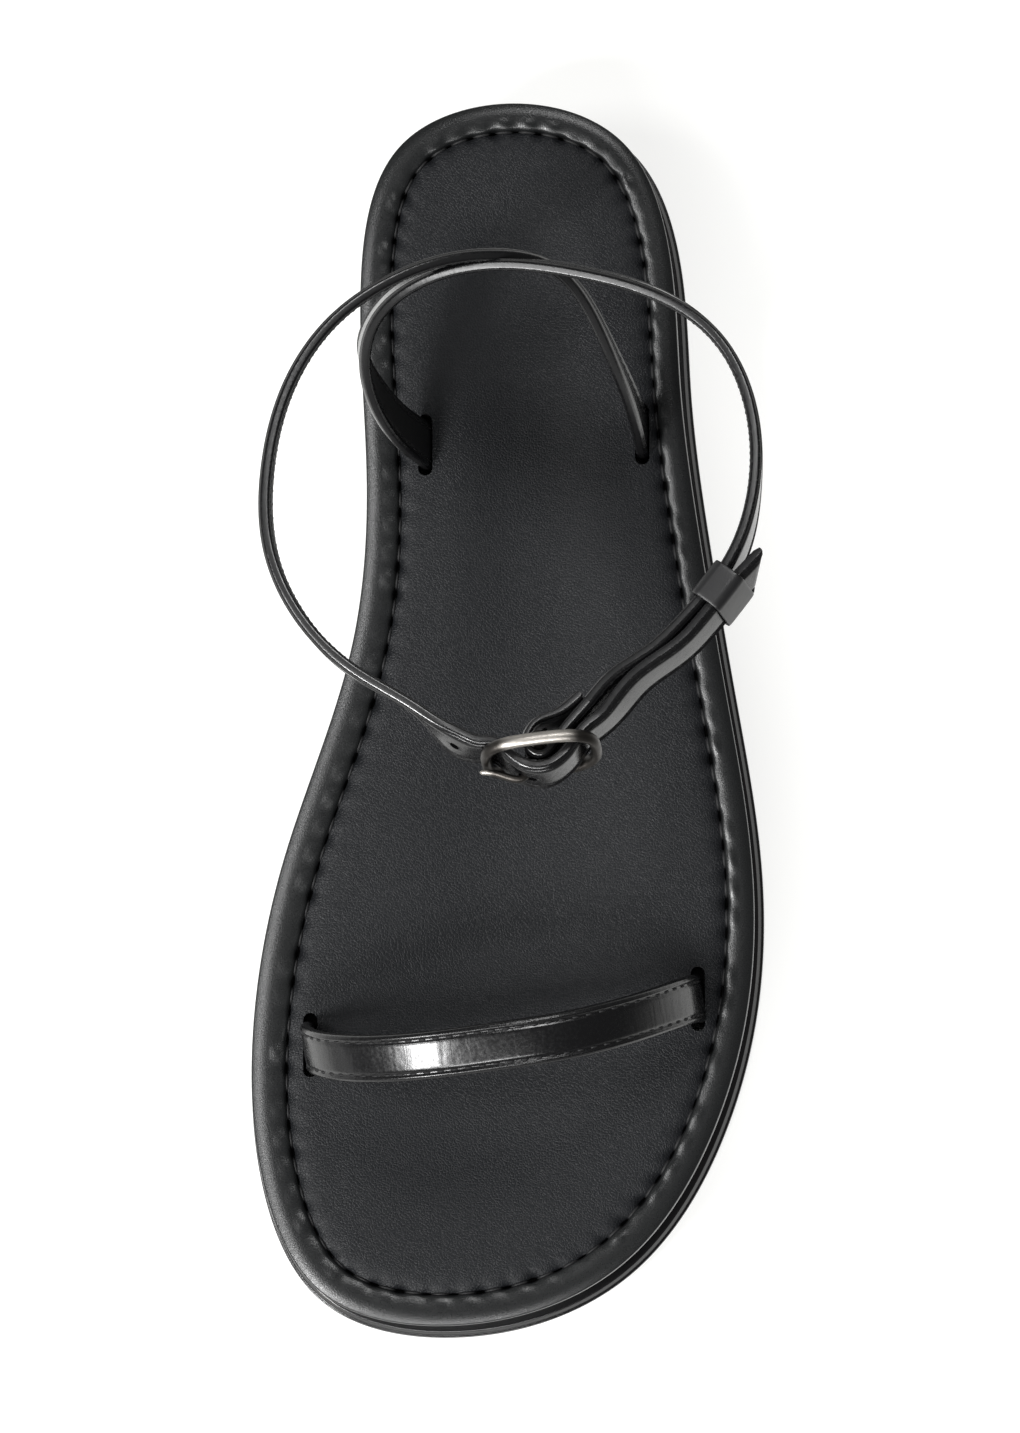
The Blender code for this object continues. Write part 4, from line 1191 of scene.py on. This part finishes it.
def add_camera():
    """Long lens almost straight above, a little towards the toe and the outer side."""
    lens = bpy.data.cameras.new("camera")
    lens.sensor_width = 36.0
    lens.lens = CAMERA_LENS
    camera = bpy.data.objects.new("camera", lens)
    bpy.context.scene.collection.objects.link(camera)
    aim(camera, CAMERA_SPOT, CAMERA_TARGET, (0.0, 1.0, 0.0))
    bpy.context.scene.camera = camera


def dress(piece, slot, *nodes):
    """Ride a piece on the sandal and hide the solids that it stands for. Its slot is not used."""
    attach(piece, "root")
    if nodes:
        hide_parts(*nodes)


def build():
    """Make every piece, the floor, the light and the camera."""
    wrap_look = drum_dyed_leather("satin drum-dyed calf", "#111213", "#171818", 0.3, 0.5, 0.009, 0.4)
    pad_look = drum_dyed_leather("matt drum-dyed nappa", "#121315", "#17181a", 0.41, 0.6, 0.044, 0.16)
    strap_look = polished_strap_leather()
    thread_look = waxed_thread()
    metal_look = aged_nickel()
    sole = Sole(AROUND)
    dress(make_sole_sheet(sole, sheet_rubber()), "outsole_rubber", "outsole")
    wrap = make_platform_wrap(sole, wrap_look)
    cut(wrap, slot_cutter(wrap_look))
    dress(wrap, "wrap_leather", "platform")
    pad = make_footbed_pad(sole, pad_look)
    cut(pad, slot_cutter(pad_look))
    dress(pad, "footbed_leather", "footbed")
    dress(make_seam_thread(sole, thread_look), None)

    toe = strap_route(TOE_ROUTE, facing_vector(TOE_STRAP_HEADING + 90.0, 0.0))
    toe = pitched(toe, TOE_STRAP_PITCH)
    grid, marks = ribbon(toe, TOE_STRAP_WIDTH)
    dress(lofted("toe_band", grid, strap_look, marks=marks), "strap_leather", "toe_strap")
    toe_rows = strap_stitches(toe, STITCH_START, toe.distance[-1] - STITCH_START, TOE_STRAP_WIDTH)
    dress(lofted("toe_band_thread", toe_rows, thread_look), None)

    strap = buckle_strap_route()
    tail = tail_strap_route(strap)
    dress(make_buckle_strap(strap, strap_look), "strap_leather", "ankle_straps")
    dress(make_tail_strap(tail, strap_look), "strap_leather", "ankle_straps")
    rows = [
        strap_stitches(strap, STITCH_START, strap.distance[-1] - CHAPE_LAP, STRAP_WIDTH),
        strap_stitches(tail, STITCH_START, tail.distance[-1] - 4.0, STRAP_WIDTH),
    ]
    dress(lofted("ankle_band_thread", np.concatenate(rows), thread_look), None)
    dress(make_keeper(strap, strap_look), "strap_leather", "keeper")
    dress(make_buckle_rim(metal_look), "aged_nickel", "buckle_frame")
    dress(make_buckle_bar(metal_look), "aged_nickel", "buckle_frame")
    dress(make_prong(metal_look), "aged_nickel", "buckle_prong")

    make_floor()
    add_studio()
    add_camera()
    bpy.context.scene.view_settings.view_transform = "Standard"


build()
